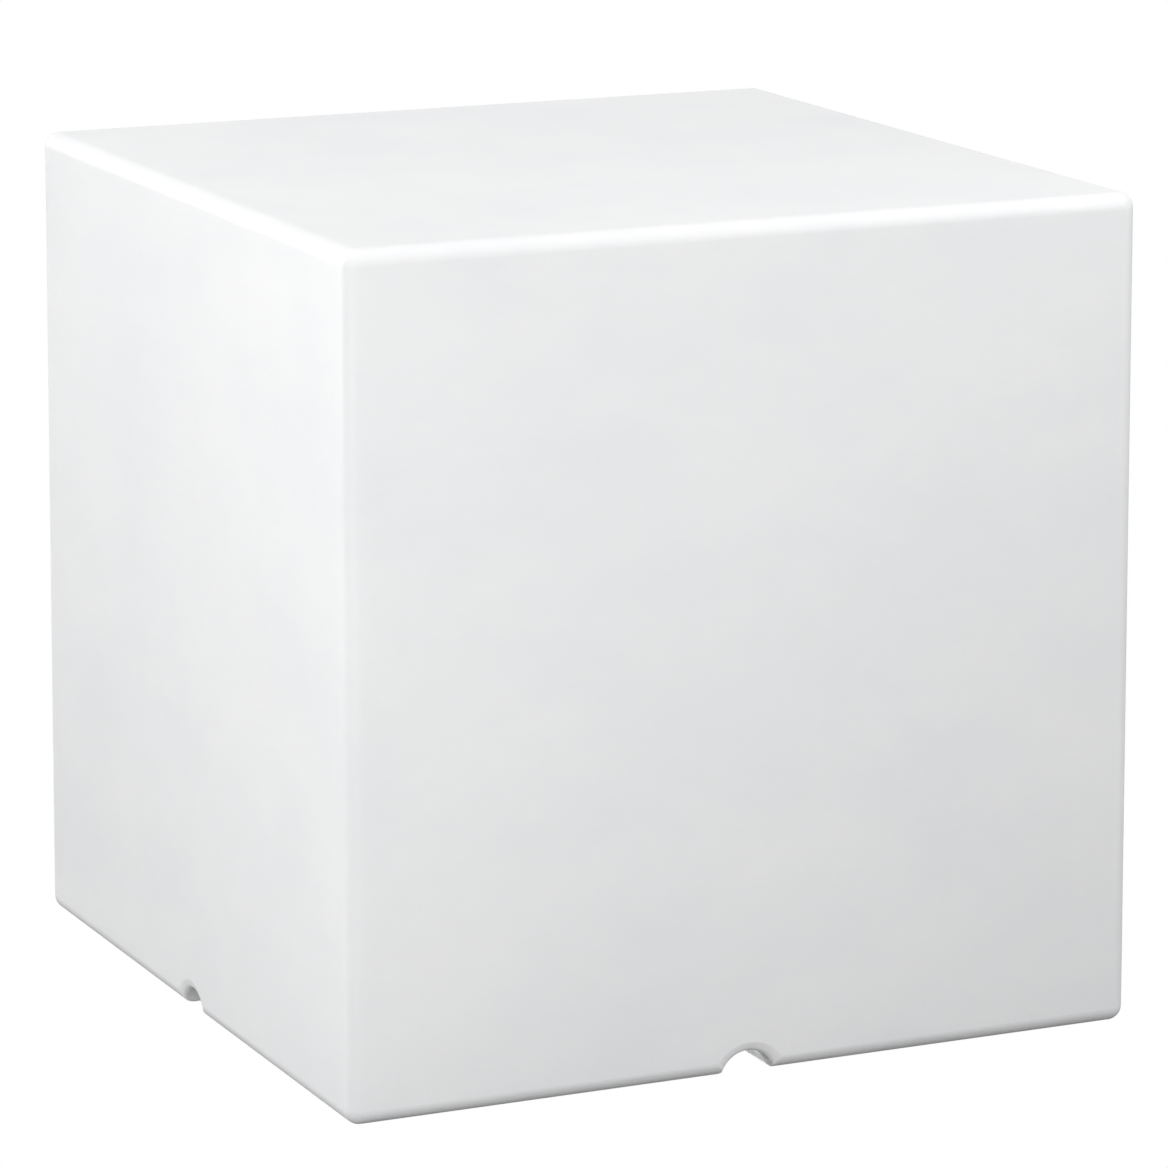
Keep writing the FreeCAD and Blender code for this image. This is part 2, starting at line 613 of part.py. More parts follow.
def make_diffuser():
    """The light unit's frosted cap: a straight bell with a sloping shoulder and a flat top."""
    body = new_body("diffuser_cap")
    sketch = new_sketch(body, "XZ_Plane", "diffuser_profile")
    outside = BELL_RADIUS
    wall = size("bell_wall")
    shoulder = f"({DOME_FLANGE_TOP} + {size('bell_rise')})"
    slope = size("shoulder_slope")
    top = f"({shoulder} + {slope})"
    thin = f"({wall} * (sqrt(2) - 1))"
    draw_outline(sketch, [
        (BELL_INSIDE, JOINT), (FLANGE_RADIUS, JOINT), (FLANGE_RADIUS, DOME_FLANGE_TOP),
        (outside, DOME_FLANGE_TOP), (outside, shoulder), (f"{outside} - {slope}", top), ("0", top),
        ("0", f"{top} - {wall}"), (f"{outside} - {slope} - {thin}", f"{top} - {wall}"),
        (BELL_INSIDE, f"{shoulder} - {thin}"),
    ])
    revolve(sketch)
    screw_holes(body, JOINT, size("dome_flange"))


SEAL_INSIDE = f"({BELL_RADIUS} + {size('seal_cord')})"
SEAL_RISE = f"({size('seal_cord')} - {size('seal_squash')})"


def make_seal():
    """The seal between the cap's flange and the base, square in section, squashed in its groove."""
    body = new_body("unit_seal")
    sketch = new_sketch(body, "XY_Plane", "seal_plan", f"{JOINT} - {SEAL_RISE}")
    draw_circle(sketch, SEAL_INSIDE)
    draw_circle(sketch, f"{SEAL_INSIDE} + {size('seal_cord')}")
    pad(sketch, SEAL_RISE)


def stand_posts(body, name, radius, top, spots):
    """Round posts from the floor up to a level, each with a blind screw hole."""
    posts = new_sketch(body, "XY_Plane", name + "_posts", FLOOR_TOP)
    for x, y in spots:
        draw_circle(posts, radius, x, y)
    pad(posts, f"{top} - {FLOOR_TOP}")
    holes = new_sketch(body, "XY_Plane", name + "_post_holes", top)
    for x, y in spots:
        draw_circle(holes, f"{size('small_screw')} + {size('thread_clearance')}", x, y)
    pocket(holes, size("small_screw_length"))


BOARD_SPOTS = [
    (f"{sign_x} * ({size('board_length')} / 2 - {size('post_inset')})",
     f"{PANEL} + {sign_y} * ({size('board_width')} / 2 - {size('post_inset')})")
    for sign_x in (-1, 1) for sign_y in (-1, 1)
]


def lamp_spots():
    """The lamp board's posts, the first of them behind the control board."""
    circle = f"({LAMP_BOARD_RADIUS} - {size('lamp_post_inset')})"
    count = int(value(size("lamp_post_count")))
    spots = []
    for number in range(count):
        angle = (number / count + 1 / 4) * FULL_TURN
        spots.append((f"{circle} * cos({angle} deg)", f"{circle} * sin({angle} deg)"))
    return spots


CELL_LEVEL = f"({FLOOR_TOP} + {size('tray_wall')} + {size('cell_radius')})"
VENT_ACROSS = f"-({TRAY_LENGTH} / 2 + {size('vent_gap')})"
VENT_ALONG = f"({PANEL} - {size('board_width')} / 2 - {size('vent_inset')})"
STRAP_REACH = f"({TRAY_WIDTH} / 2 + {size('strap_gap')})"
STRAP_TOP = f"({CELL_LEVEL} + {size('cell_radius')} + {size('strap_thick')})"
FOOT_SPOTS = [
    ("0", f"{CELLS_MIDDLE} + {sign} * ({STRAP_REACH} + {size('strap_foot')} / 2)")
    for sign in (-1, 1)
]


def make_base():
    body = new_body("unit_base")
    sketch = new_sketch(body, "XZ_Plane", "base_profile")
    dish_outside = f"({DISH_INSIDE} + {size('floor')})"
    draw_outline(sketch, [
        ("0", DISH_UNDER), (dish_outside, DISH_UNDER), (dish_outside, FLANGE_UNDER),
        (FLANGE_RADIUS, FLANGE_UNDER), (FLANGE_RADIUS, JOINT), (DISH_INSIDE, JOINT),
        (DISH_INSIDE, FLOOR_TOP), ("0", FLOOR_TOP),
    ])
    revolve(sketch)
    under = value(DISH_UNDER)
    ease(body, "Chamfer", size("dish_round"), lambda middle, box: abs(middle.z - under) < TOUCHING)
    rim = value(FLANGE_RADIUS)
    flange_under = value(FLANGE_UNDER)
    ease(body, "Chamfer", f"{size('base_flange')} / 4",
         lambda middle, box: box.XMax > rim - TOUCHING and abs(middle.z - flange_under) < TOUCHING)

    seal_groove = new_sketch(body, "XY_Plane", "seal_groove", JOINT)
    draw_circle(seal_groove, f"{SEAL_INSIDE} + {size('seal_cord')} + {size('fit_gap')}")
    draw_circle(seal_groove, f"{SEAL_INSIDE} - {size('fit_gap')}")
    pocket(seal_groove, SEAL_RISE)

    box_outside = f"{size('pocket_length')} + 2 * {size('floor')}"
    box_width = f"{size('pocket_width')} + 2 * {size('floor')}"
    roof = new_sketch(body, "XY_Plane", "pocket_roof", FLOOR_TOP)
    draw_slot(roof, box_outside, box_width, "0", PANEL)
    pad(roof, f"{ROOF_TOP} - {FLOOR_TOP}")
    hollow = new_sketch(body, "XY_Plane", "control_pocket", DISH_UNDER)
    draw_slot(hollow, size("pocket_length"), size("pocket_width"), "0", PANEL)
    pocket(hollow, size("pocket_rise"), upward=True)

    stand_posts(body, "board", size("post_radius"), BOARD_UNDER, BOARD_SPOTS)
    stand_posts(body, "lamp", size("lamp_post_radius"), LAMP_BOARD_UNDER, lamp_spots())

    seats = new_sketch(body, "XY_Plane", "strap_seats", FLOOR_TOP)
    for x, y in FOOT_SPOTS:
        draw_circle(seats, f"{size('strap_foot')} / 2", x, y)
    pad(seats, size("foot_boss"))
    pilots = new_sketch(body, "XY_Plane", "strap_pilots", f"{FLOOR_TOP} + {size('foot_boss')}")
    for x, y in FOOT_SPOTS:
        draw_circle(pilots, f"{size('small_screw')} + {size('thread_clearance')}", x, y)
    pocket(pilots, f"{size('strap_bite')} + {size('pilot_spare')}")

    through = new_sketch(body, "XY_Plane", "panel_holes", DISH_UNDER)
    draw_circle(through, f"{size('button_radius')} + {size('button_clearance')}",
                size("button_place"), PANEL)
    draw_circle(through, f"{size('socket_bush')} + {size('fit_gap')}", size("socket_place"), PANEL)
    draw_circle(through, f"{size('pipe_radius')} + {size('fit_gap')}", "0", PANEL)
    draw_circle(through, f"{size('anchor_stem')} + {size('fit_gap')}", ANCHOR_PLACE, PANEL)
    draw_circle(through, f"{size('vent_radius')} + {size('fit_gap')}", VENT_ACROSS, VENT_ALONG)
    pocket(through, f"{ROOF_TOP} - {DISH_UNDER}", upward=True)

    screw_holes(body, FLANGE_UNDER, size("base_flange"))
    rib = new_sketch(body, "XY_Plane", "flange_rib", FLANGE_UNDER)
    rib.setExpression("AttachmentOffset.Rotation.Angle", f"180 deg / {size('rib_count')}")
    draw_rectangle(rib, f"{dish_outside} - {size('floor')} / 2", f"-{size('rib_thick')} / 2",
                   f"{FLANGE_RADIUS} - {size('base_flange')} / 2", f"{size('rib_thick')} / 2")
    ring_pattern(body, pad(rib, size("rib_drop"), downward=True), size("rib_count"))


def make_unit_screws():
    screw = new_body("screw_master")
    sketch = new_sketch(screw, "XZ_Plane", "screw_profile")
    head = size("screw_head_radius")
    drop = size("screw_head_rise")
    shank = size("screw_radius")
    clamped = " + ".join(size(part) for part in (
        "washer_thick", "base_flange", "dome_flange", "gasket_thick"))
    length = f"({clamped} + {size('screw_bite')})"
    draw_outline(sketch, [
        ("0", f"-{drop}"), (f"{head} * {size('head_flat')}", f"-{drop}"),
        (head, f"-{drop} * {size('head_edge')}"), (head, "0"),
        (shank, "0"), (shank, f"{length} - {shank} / 2"), (f"{shank} / 2", length), ("0", length),
    ])
    revolve(sketch)
    count = int(value(size("screw_count")))
    level = value(FLANGE_UNDER) - value(size("washer_thick"))
    copies("unit_screws", screw, ring_spots(count, value(SCREW_CIRCLE), level))

    washer = new_body("washer_master")
    ring = new_sketch(washer, "XY_Plane", "washer_plan")
    draw_circle(ring, size("washer_radius"))
    draw_circle(ring, SCREW_HOLE)
    pad(ring, size("washer_thick"))
    copies("sealing_washers", washer, ring_spots(count, value(SCREW_CIRCLE), level))


def make_small_screws(name, length, spots, level):
    """Round-headed screws whose heads bear on a level, one at each of the spots."""
    screw = new_body(name + "_master")
    sketch = new_sketch(screw, "XZ_Plane", name + "_profile")
    head = size("small_head")
    rise = size("small_head_rise")
    shank = size("small_screw")
    draw_outline(sketch, [
        ("0", rise), (f"{head} * {size('head_flat')}", rise), (head, f"{rise} * {size('head_edge')}"),
        (head, "0"),
        (shank, "0"), (shank, f"{shank} - {length}"), ("0", f"-{length}"),
    ])
    revolve(sketch)
    copies(name, screw, [(value(x), value(y), value(level), 0) for x, y in spots])


# The button that switches the light: cap, sealing ring and the switch's plunger move together.

def make_button():
    cap = new_body("button_cap")
    sketch = new_sketch(cap, "XZ_Plane", "cap_profile")
    radius = size("button_radius")
    face = f"({ROOF_UNDER} - {size('button_proud')})"
    rim = f"({radius} + {size('button_rim')})"
    ring_level = f"(({ROOF_UNDER} + {ROOF_TOP}) / 2)"
    ring_half = f"({size('ring_cord')} / 2)"
    groove_floor = f"({radius} + {size('button_clearance')} - {size('ring_gap')} - {size('ring_cord')})"
    draw_outline(sketch, [
        ("0", f"{face} + {size('button_dish')}"), (f"{radius} - {size('button_bevel')}", face),
        (radius, f"{face} + {size('button_bevel')}"),
        (radius, f"{ring_level} - {ring_half}"), (groove_floor, f"{ring_level} - {ring_half}"),
        (groove_floor, f"{ring_level} + {ring_half}"), (radius, f"{ring_level} + {ring_half}"),
        (radius, ROOF_TOP), (rim, ROOF_TOP), (rim, BUTTON_RIM_TOP), ("0", BUTTON_RIM_TOP),
    ])
    revolve(sketch)
    place(cap, size("button_place"), PANEL)

    ring = new_body("button_ring")
    plan = new_sketch(ring, "XY_Plane", "ring_plan", f"{ring_level} - {ring_half}")
    draw_circle(plan, groove_floor)
    draw_circle(plan, f"{groove_floor} + {size('ring_cord')}")
    pad(plan, size("ring_cord"))
    place(ring, size("button_place"), PANEL)

    cylinder("switch_plunger", size("plunger_radius"),
             f"{size('plunger_reach')} + {size('plunger_engaged')}",
             size("button_place"), PANEL, BUTTON_RIM_TOP)

    case = block("switch_case", size("switch_side"), size("switch_side"), size("switch_rise"),
                 size("button_place"), PANEL, SWITCH_UNDER)
    bore = cylinder("switch_bore", f"{size('plunger_radius')} + {size('plunger_clearance')}",
                    f"{size('plunger_engaged')} + {size('button_travel')} + {size('plunger_clearance')}",
                    size("button_place"), PANEL, SWITCH_UNDER)
    cut("push_switch", case, bore)


# The charging socket in the pocket's roof, with its seal, nut and centre pin.

def make_socket():
    place_x = size("socket_place")
    flange_top = f"({ROOF_UNDER} - {size('socket_seal_thick')})"
    mouth = f"({flange_top} - {size('socket_flange_thick')})"

    body = new_body("charging_socket")
    sketch = new_sketch(body, "XZ_Plane", "socket_profile")
    bush = size("socket_bush")
    bore = size("socket_bore")
    flange = SOCKET_FLANGE
    bevel = size("small_bevel")
    floor = f"({mouth} + {size('socket_bore_depth')})"
    top = SOCKET_TOP
    draw_outline(sketch, [
        (bore, mouth), (f"{flange} - {bevel}", mouth), (flange, f"{mouth} + {bevel}"),
        (flange, flange_top), (bush, flange_top), (bush, top),
        (size("socket_pin"), top), (size("socket_pin"), floor), (bore, floor),
    ])
    revolve(sketch)
    place(body, place_x, PANEL)

    cylinder("socket_pin", size("socket_pin"), f"{top} - {mouth} - {size('socket_pin_inset')}",
             place_x, PANEL, f"{mouth} + {size('socket_pin_inset')}")

    seal = new_body("socket_seal")
    ring = new_sketch(seal, "XY_Plane", "socket_seal_plan")
    draw_circle(ring, flange)
    draw_circle(ring, f"{bush} + {size('fit_gap')}")
    pad(ring, size("socket_seal_thick"))
    place(seal, place_x, PANEL, flange_top)

    prism = doc.addObject("Part::Prism", "nut_prism")
    flats = f"({bush} + {size('nut_wall')})"
    bind(prism, Polygon=size("nut_sides"), Circumradius=f"{flats} / cos(180 deg / {size('nut_sides')})",
         Height=size("nut_thick"))
    place(prism, place_x, PANEL, ROOF_TOP)
    hole = cylinder("nut_hole", f"{bush} + {size('fit_gap')}", size("nut_thick"),
                    place_x, PANEL, ROOF_TOP)
    cut("socket_nut", prism, hole)


# The soft cover of the charging socket, which swings on its tether, and the tether's anchor.

COVER_TOP = (f"({ROOF_UNDER} - {size('socket_seal_thick')} - {size('socket_flange_thick')}"
             f" - {size('cover_gap')})")
COVER_UNDER = f"({COVER_TOP} - {size('cover_thick')})"
BEND_LEVEL = f"({COVER_UNDER} + {size('cover_thick')} / 2)"
TETHER_HALF = f"({size('tether_thick')} / 2)"


def make_port_cover():
    cover = new_body("cover_disc_body")
    disc = new_sketch(cover, "XY_Plane", "cover_disc", COVER_UNDER)
    draw_circle(disc, COVER_RADIUS, size("socket_place"), PANEL)
    pad(disc, size("cover_thick"))
    under = value(COVER_UNDER)
    ease(cover, "Chamfer", f"{size('cover_thick')} / 4",
         lambda middle, box: abs(middle.z - under) < TOUCHING)

    side = new_sketch(cover, "XZ_Plane", "tether_side", f"-{PANEL}")
    inner = f"{size('socket_place')} + {COVER_RADIUS} / 2"
    draw_outline(side, [
        (inner, f"{BEND_LEVEL} - {TETHER_HALF}"), (BEND_PLACE, f"{BEND_LEVEL} - {TETHER_HALF}"),
        (BEND_PLACE, f"{BEND_LEVEL} + {TETHER_HALF}"), (inner, f"{BEND_LEVEL} + {TETHER_HALF}"),
    ], {1: ("DistanceX", BEND_PLACE, (f"{BEND_PLACE} + {TETHER_HALF}", BEND_LEVEL))})
    pad(side, size("tab_width"), both_ways=True)

    tab = new_sketch(cover, "XY_Plane", "pull_tab", f"{BEND_LEVEL} - {TETHER_HALF}")
    reach = f"({COVER_RADIUS} + {size('tab_length')})"
    draw_slot(tab, reach, size("tab_width"), f"{size('socket_place')} - {reach} / 2", PANEL)
    pad(tab, size("tether_thick"))

    stub = new_body("cover_stub")
    root = new_sketch(stub, "XZ_Plane", "stub_profile")
    radius = f"({size('socket_bore')} - {size('stub_clearance')})"
    draw_outline(root, [
        ("0", f"{COVER_TOP} - {size('cover_thick')} / 2"),
        (radius, f"{COVER_TOP} - {size('cover_thick')} / 2"), (radius, COVER_TOP),
        (f"{radius} - {size('stub_taper')}", f"{COVER_TOP} + {size('stub_length')}"),
        ("0", f"{COVER_TOP} + {size('stub_length')}"),
    ])
    revolve(root)
    place(stub, size("socket_place"), PANEL)
    fuse("port_cover", [cover, stub])


def make_anchor():
    anchor = new_body("tether_anchor")
    strap = new_sketch(anchor, "XY_Plane", "anchor_strap", f"{BEND_LEVEL} - {TETHER_HALF}")
    start = f"({BEND_PLACE} + {TETHER_HALF} + {size('tether_gap')})"
    half = f"({size('tab_width')} / 2)"
    draw_outline(strap, [
        (start, f"{PANEL} - {half}"), (ANCHOR_PLACE, f"{PANEL} - {half}"),
        (ANCHOR_PLACE, f"{PANEL} + {half}"), (start, f"{PANEL} + {half}"),
    ], {1: ("DistanceX", ANCHOR_PLACE, (f"{ANCHOR_PLACE} + {half}", PANEL))})
    pad(strap, size("tether_thick"))
    for name, radius, low, high in (
        ("anchor_pad", size("anchor_radius"), f"{BEND_LEVEL} - {TETHER_HALF}", ROOF_UNDER),
        ("anchor_stem", size("anchor_stem"), BEND_LEVEL, f"{ROOF_TOP} + {size('fit_gap')}"),
        ("anchor_bulb", size("anchor_bulb"), f"{ROOF_TOP} + {size('fit_gap')}",
         f"{ROOF_TOP} + {size('anchor_bulb_rise')}"),
    ):
        sketch = new_sketch(anchor, "XY_Plane", name, low)
        draw_circle(sketch, radius, ANCHOR_PLACE, PANEL)
        pad(sketch, f"{high} - {low}")


def make_light_pipe():
    pipe = new_body("light_pipe")
    sketch = new_sketch(pipe, "XZ_Plane", "pipe_profile")
    top = f"({BOARD_UNDER} - {size('status_rise')} - {size('pipe_gap')})"
    lens = f"({ROOF_UNDER} - {size('pipe_head_thick')})"
    draw_outline(sketch, [
        ("0", lens), (f"{size('pipe_head')} - {size('small_bevel')}", lens), (size("pipe_head"), ROOF_UNDER),
        (size("pipe_radius"), ROOF_UNDER), (size("pipe_radius"), top), ("0", top),
    ])
    revolve(sketch)
    place(pipe, "0", PANEL)
    block("charge_light", size("status_side"), size("status_side"), size("status_rise"),
          "0", PANEL, f"{BOARD_UNDER} - {size('status_rise')}")


def make_breather():
    plug = new_body("breather_plug")
    sketch = new_sketch(plug, "XZ_Plane", "breather_profile")
    head_under = f"({DISH_UNDER} - {size('vent_head_thick')})"
    head = size("vent_head")
    stem = size("vent_radius")
    bevel = size("small_bevel")
    barb = f"({FLOOR_TOP} + {size('fit_gap')})"
    top = f"({barb} + {size('vent_barb_rise')})"
    draw_outline(sketch, [
        ("0", head_under), (f"{head} - {bevel}", head_under), (head, f"{head_under} + {bevel}"),
        (head, DISH_UNDER), (stem, DISH_UNDER), (stem, barb), (size("vent_barb"), barb),
        (stem, top), ("0", top),
    ])
    revolve(sketch)
    place(plug, VENT_ACROSS, VENT_ALONG)


# The two circuit boards and what is soldered on them.

# Where the larger parts stand on the control board, from its middle, in millimetres.
DRIVER_PLACES = ((-31, -6), (-31, 8), (4, -13))
CAPACITOR_PLACES = ((20, 8), (30, 8))
BATTERY_PLUG_ALONG = -14
LAMP_PLUG = (-14, 15)


def board_places(places):
    """Places on the control board's top as numbers in the light's own frame."""
    return [(x, y + value(PANEL), value(BOARD_TOP), 0) for x, y in places]


def make_control_board():
    body = new_body("control_board")
    sketch = new_sketch(body, "XY_Plane", "control_board_plan", BOARD_UNDER)
    half = f"{size('board_length')} / 2"
    edge = f"{size('board_width')} / 2"
    draw_rectangle(sketch, f"-{half}", f"{PANEL} - {edge}", half, f"{PANEL} + {edge}")
    for x, y in BOARD_SPOTS:
        draw_circle(sketch, f"{size('small_screw')} + {size('screw_clearance')}", x, y)
    pad(sketch, size("board_thick"))

    chip = block("chip_master", size("chip_case"), size("chip_case"), size("chip_case_rise"))
    copies("driver_chips", chip, board_places(DRIVER_PLACES))

    low = cylinder("choke_foot", size("choke_radius"), size("choke_flange"), "0", PANEL, BOARD_TOP)
    core = cylinder("choke_core", size("choke_waist"), size("choke_rise"), "0", PANEL, BOARD_TOP)
    high = cylinder("choke_head", size("choke_radius"), size("choke_flange"), "0", PANEL,
                    f"{BOARD_TOP} + {size('choke_rise')} - {size('choke_flange')}")
    fuse("power_choke", [low, core, high])

    can = cylinder("capacitor_master", size("capacitor_radius"), size("capacitor_rise"))
    copies("capacitors", can, board_places(CAPACITOR_PLACES))
    make_small_screws("board_screws", size("small_screw_length"), BOARD_SPOTS, BOARD_TOP)


def make_lamp_board():
    body = new_body("lamp_board")
    sketch = new_sketch(body, "XY_Plane", "lamp_board_plan", LAMP_BOARD_UNDER)
    draw_circle(sketch, LAMP_BOARD_RADIUS)
    for x, y in lamp_spots():
        draw_circle(sketch, f"{size('small_screw')} + {size('screw_clearance')}", x, y)
    pad(sketch, size("board_thick"))

    chip = block("lamp_chip_master", size("chip_side"), size("chip_side"), size("chip_rise"))
    level = value(LAMP_BOARD_TOP)
    spots = ring_spots(int(value(size("inner_count"))), value(size("inner_ring")), level)
    outer = value(f"{LAMP_BOARD_RADIUS} - {size('outer_ring_inset')}")
    spots += ring_spots(int(value(size("outer_count"))), outer, level)
    copies("lamp_chips", chip, spots)
    make_small_screws("lamp_screws", size("small_screw_length"), lamp_spots(), LAMP_BOARD_TOP)

    case = block("receiver_case", size("receiver_width"), size("receiver_depth"),
                 size("receiver_rise"), "0", "0", LAMP_BOARD_TOP)
    eye = cylinder("receiver_eye", f"{size('receiver_depth')} / 2", size("chip_rise"), "0", "0",
                   f"{LAMP_BOARD_TOP} + {size('receiver_rise')}")
    fuse("remote_receiver", [case, eye])


# The battery: two cells in a tray, their contact plates, and the strap that holds them down.

def make_battery():
    middle = CELLS_MIDDLE
    outside = block("tray_outside", TRAY_LENGTH, TRAY_WIDTH, size("tray_rise"), "0", middle, FLOOR_TOP)
    inside = block("tray_inside", TRAY_INSIDE_LENGTH, TRAY_INSIDE_WIDTH, size("tray_rise"), "0", middle,
                   f"{FLOOR_TOP} + {size('tray_wall')}")
    cut("battery_tray", outside, inside)

    radius = value(size("cell_radius"))
    length = value(size("cell_length"))
    pitch = 2 * radius + value(size("cell_space"))
    rows = [value(middle) + side * pitch / 2 for side in (-1, 1)]
    level = value(CELL_LEVEL)
    cells = [Part.makeCylinder(radius, length, Vector(-length / 2, y, level), Vector(1, 0, 0))
             for y in rows]
    doc.addObject("Part::Feature", "battery_cells").Shape = Part.makeCompound(cells)

    thick = value(size("contact_thick"))
    width = value(size("contact_width"))
    rise = value(size("contact_rise"))
    foot = level - rise / 2

    def plate(x, low_y, high_y):
        return Part.makeBox(thick, high_y - low_y, rise, Vector(x, low_y, foot))

    plates = [plate(length / 2, y - width / 2, y + width / 2) for y in rows]
    plates.append(plate(-length / 2 - thick, rows[0] - width / 2, rows[1] + width / 2))
    doc.addObject("Part::Feature", "battery_contacts").Shape = Part.makeCompound(plates)


def make_strap():
    body = new_body("battery_strap")
    sketch = new_sketch(body, "YZ_Plane", "strap_profile")
    middle = CELLS_MIDDLE
    seat = f"({FLOOR_TOP} + {size('foot_boss')})"
    thick = size("strap_thick")
    top = f"({STRAP_TOP} + {size('fit_gap')})"
    foot = f"({STRAP_REACH} + {size('strap_foot')})"
    leg = f"({STRAP_REACH} + {thick})"
    half = [
        (foot, seat), (foot, f"{seat} + {thick}"), (leg, f"{seat} + {thick}"), (leg, top),
    ]
    inner = [(STRAP_REACH, f"{top} - {thick}"), (STRAP_REACH, seat)]
    outline = [(f"{middle} - {y}", z) for y, z in half]
    outline += [(f"{middle} + {y}", z) for y, z in reversed(half)]
    outline += [(f"{middle} + {y}", z) for y, z in reversed(inner)]
    outline += [(f"{middle} - {y}", z) for y, z in inner]
    draw_outline(sketch, outline)
    pad(sketch, size("strap_width"), both_ways=True)
    holes = new_sketch(body, "XY_Plane", "strap_holes", seat)
    for x, y in FOOT_SPOTS:
        draw_circle(holes, f"{size('small_screw')} + {size('screw_clearance')}", x, y)
    pocket(holes, thick, upward=True)
    make_small_screws("strap_screws", f"({thick} + {size('strap_bite')})", FOOT_SPOTS, f"{seat} + {thick}")


# The wiring: plugs on the boards, the leads between them and the socket's solder tags.

def make_battery_lead(across, end):
    """A flat two-core lead that leaves the tray's side, climbs past the control board's edge and
    turns in to its plug."""
    body = new_body("battery_lead")
    sketch = new_sketch(body, "YZ_Plane", "lead_side", across)
    thick = size("lead_thick")
    bend = size("lead_bend")
    start = TRAY_EDGE
    low = CELL_LEVEL
    high = f"({BOARD_TOP} + {size('plug_rise')} / 2)"
    chord = f"({bend} * (1 - sqrt(0.5)))"
    wide = f"({bend} + {thick})"
    wide_chord = f"({wide} * (1 - sqrt(0.5)))"
    back = f"({start} + {bend})"
    front = f"({back} + {thick})"
    draw_outline(sketch, [
        (start, low), (start, f"{low} - {thick}"), (front, f"{low} + {bend}"),
        (front, f"{high} - {bend} - {thick}"), (f"{front} + {bend}", f"{high} - {thick}"),
        (end, f"{high} - {thick}"), (end, high), (f"{front} + {bend}", high),
        (back, f"{high} - {wide}"), (back, f"{low} + {bend}"),
    ], {
        1: ("Radius", wide, (f"{front} - {wide_chord}", f"{low} - {thick} + {wide_chord}")),
        3: ("Radius", bend, (f"{front} + {chord}", f"{high} - {thick} - {chord}")),
        7: ("Radius", wide, (f"{back} + {wide_chord}", f"{high} - {wide_chord}")),
        9: ("Radius", bend, (f"{back} - {chord}", f"{low} + {chord}")),
    })
    pad(sketch, size("lead_width"), both_ways=True)


def make_wiring():
    length = size("plug_length")
    width = size("plug_width")
    rise = size("plug_rise")
    plug = block("plug_master", length, width, rise)
    lead_place = value(f"{TRAY_LENGTH} / 2 - {size('lead_inset')}")
    spots = board_places([(lead_place, BATTERY_PLUG_ALONG), LAMP_PLUG])
    lamp_x, lamp_y, level, turn = spots[1]
    hanging = (lamp_x, lamp_y, value(LAMP_BOARD_UNDER) - value(rise), turn)
    copies("lead_plugs", plug, spots + [hanging])

    low = level + value(rise)
    cylinder("lamp_lead", size("lead_radius"), hanging[2] - low, lamp_x, lamp_y, low)
    make_battery_lead(lead_place, spots[0][1] - value(width) / 2)

    tag = block("tag_master", size("tag_width"), size("tag_thick"), size("tag_length"))
    spread = value(size("tag_spread")) / 2
    across = value(size("socket_place"))
    foot = value(SOCKET_TOP)
    copies("socket_tags", tag, [(across, value(PANEL) + side * spread, foot, 0) for side in (-1, 1)])


NODES = (
    "cube_shell", "thread_inserts", "foam_gasket", "diffuser_cap", "unit_seal", "unit_base",
    "unit_screws", "sealing_washers", "button_cap", "button_ring", "switch_plunger", "push_switch",
    "charging_socket", "socket_pin", "socket_seal", "socket_nut", "socket_tags", "port_cover",
    "tether_anchor", "light_pipe", "charge_light", "breather_plug", "control_board", "driver_chips",
    "power_choke", "capacitors", "board_screws", "lamp_board", "lamp_chips", "lamp_screws",
    "remote_receiver", "battery_tray", "battery_cells", "battery_contacts", "battery_strap",
    "strap_screws", "lead_plugs", "lamp_lead", "battery_lead",
)

for make in (make_shell, make_inserts, make_gasket, make_diffuser, make_seal, make_base,
             make_unit_screws, make_button, make_socket, make_port_cover, make_anchor,
             make_light_pipe, make_breather, make_control_board, make_lamp_board, make_battery,
             make_strap, make_wiring):
    make()
doc.recompute()

for thing in doc.Objects:
    assert not {"Invalid", "Error"} & set(thing.State), f"{thing.Label}: {thing.getStatusString()}"

for name in NODES:
    shape = doc.getObject(name).Shape
    assert not shape.isNull() and shape.isValid() and shape.Solids, name
    shape.exportStep(f"parts/{name}.step")
    print(f"{name}: {len(shape.Solids)} solid(s), {shape.Volume:.1f} mm3")
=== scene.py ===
import math

import bmesh
import bpy
from mathutils import Matrix, Vector


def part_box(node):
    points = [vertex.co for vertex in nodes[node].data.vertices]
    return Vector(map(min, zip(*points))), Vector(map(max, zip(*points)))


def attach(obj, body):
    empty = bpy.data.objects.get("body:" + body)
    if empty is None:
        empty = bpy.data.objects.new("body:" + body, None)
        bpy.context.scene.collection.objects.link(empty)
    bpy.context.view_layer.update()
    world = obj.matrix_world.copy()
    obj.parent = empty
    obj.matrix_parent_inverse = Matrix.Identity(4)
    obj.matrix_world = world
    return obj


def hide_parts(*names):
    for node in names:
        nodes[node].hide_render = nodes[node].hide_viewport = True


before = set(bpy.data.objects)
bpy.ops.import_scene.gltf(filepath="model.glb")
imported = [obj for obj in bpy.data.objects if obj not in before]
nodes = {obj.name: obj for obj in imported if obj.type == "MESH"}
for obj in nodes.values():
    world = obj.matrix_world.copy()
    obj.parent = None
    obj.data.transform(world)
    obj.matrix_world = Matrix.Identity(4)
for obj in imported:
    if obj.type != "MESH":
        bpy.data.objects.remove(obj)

scene = bpy.context.scene
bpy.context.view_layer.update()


# The camera
# A long lens a little above the cube, turned so that the near vertical edge stands left of the
# middle. Its place comes from a fit to the six corners of the cube's outline in the photograph.

TOP_SIDE = 0.3958
AZIMUTH = math.radians(-24.63)
ELEVATION = math.radians(12.80)
ROLL = math.radians(0.055)
STAND_OFF = Vector((0.0161, -0.0169, 7.084)) * TOP_SIDE
FOCAL_PIXELS = 5771
PICTURE_PIXELS = 1168
SENSOR = 36

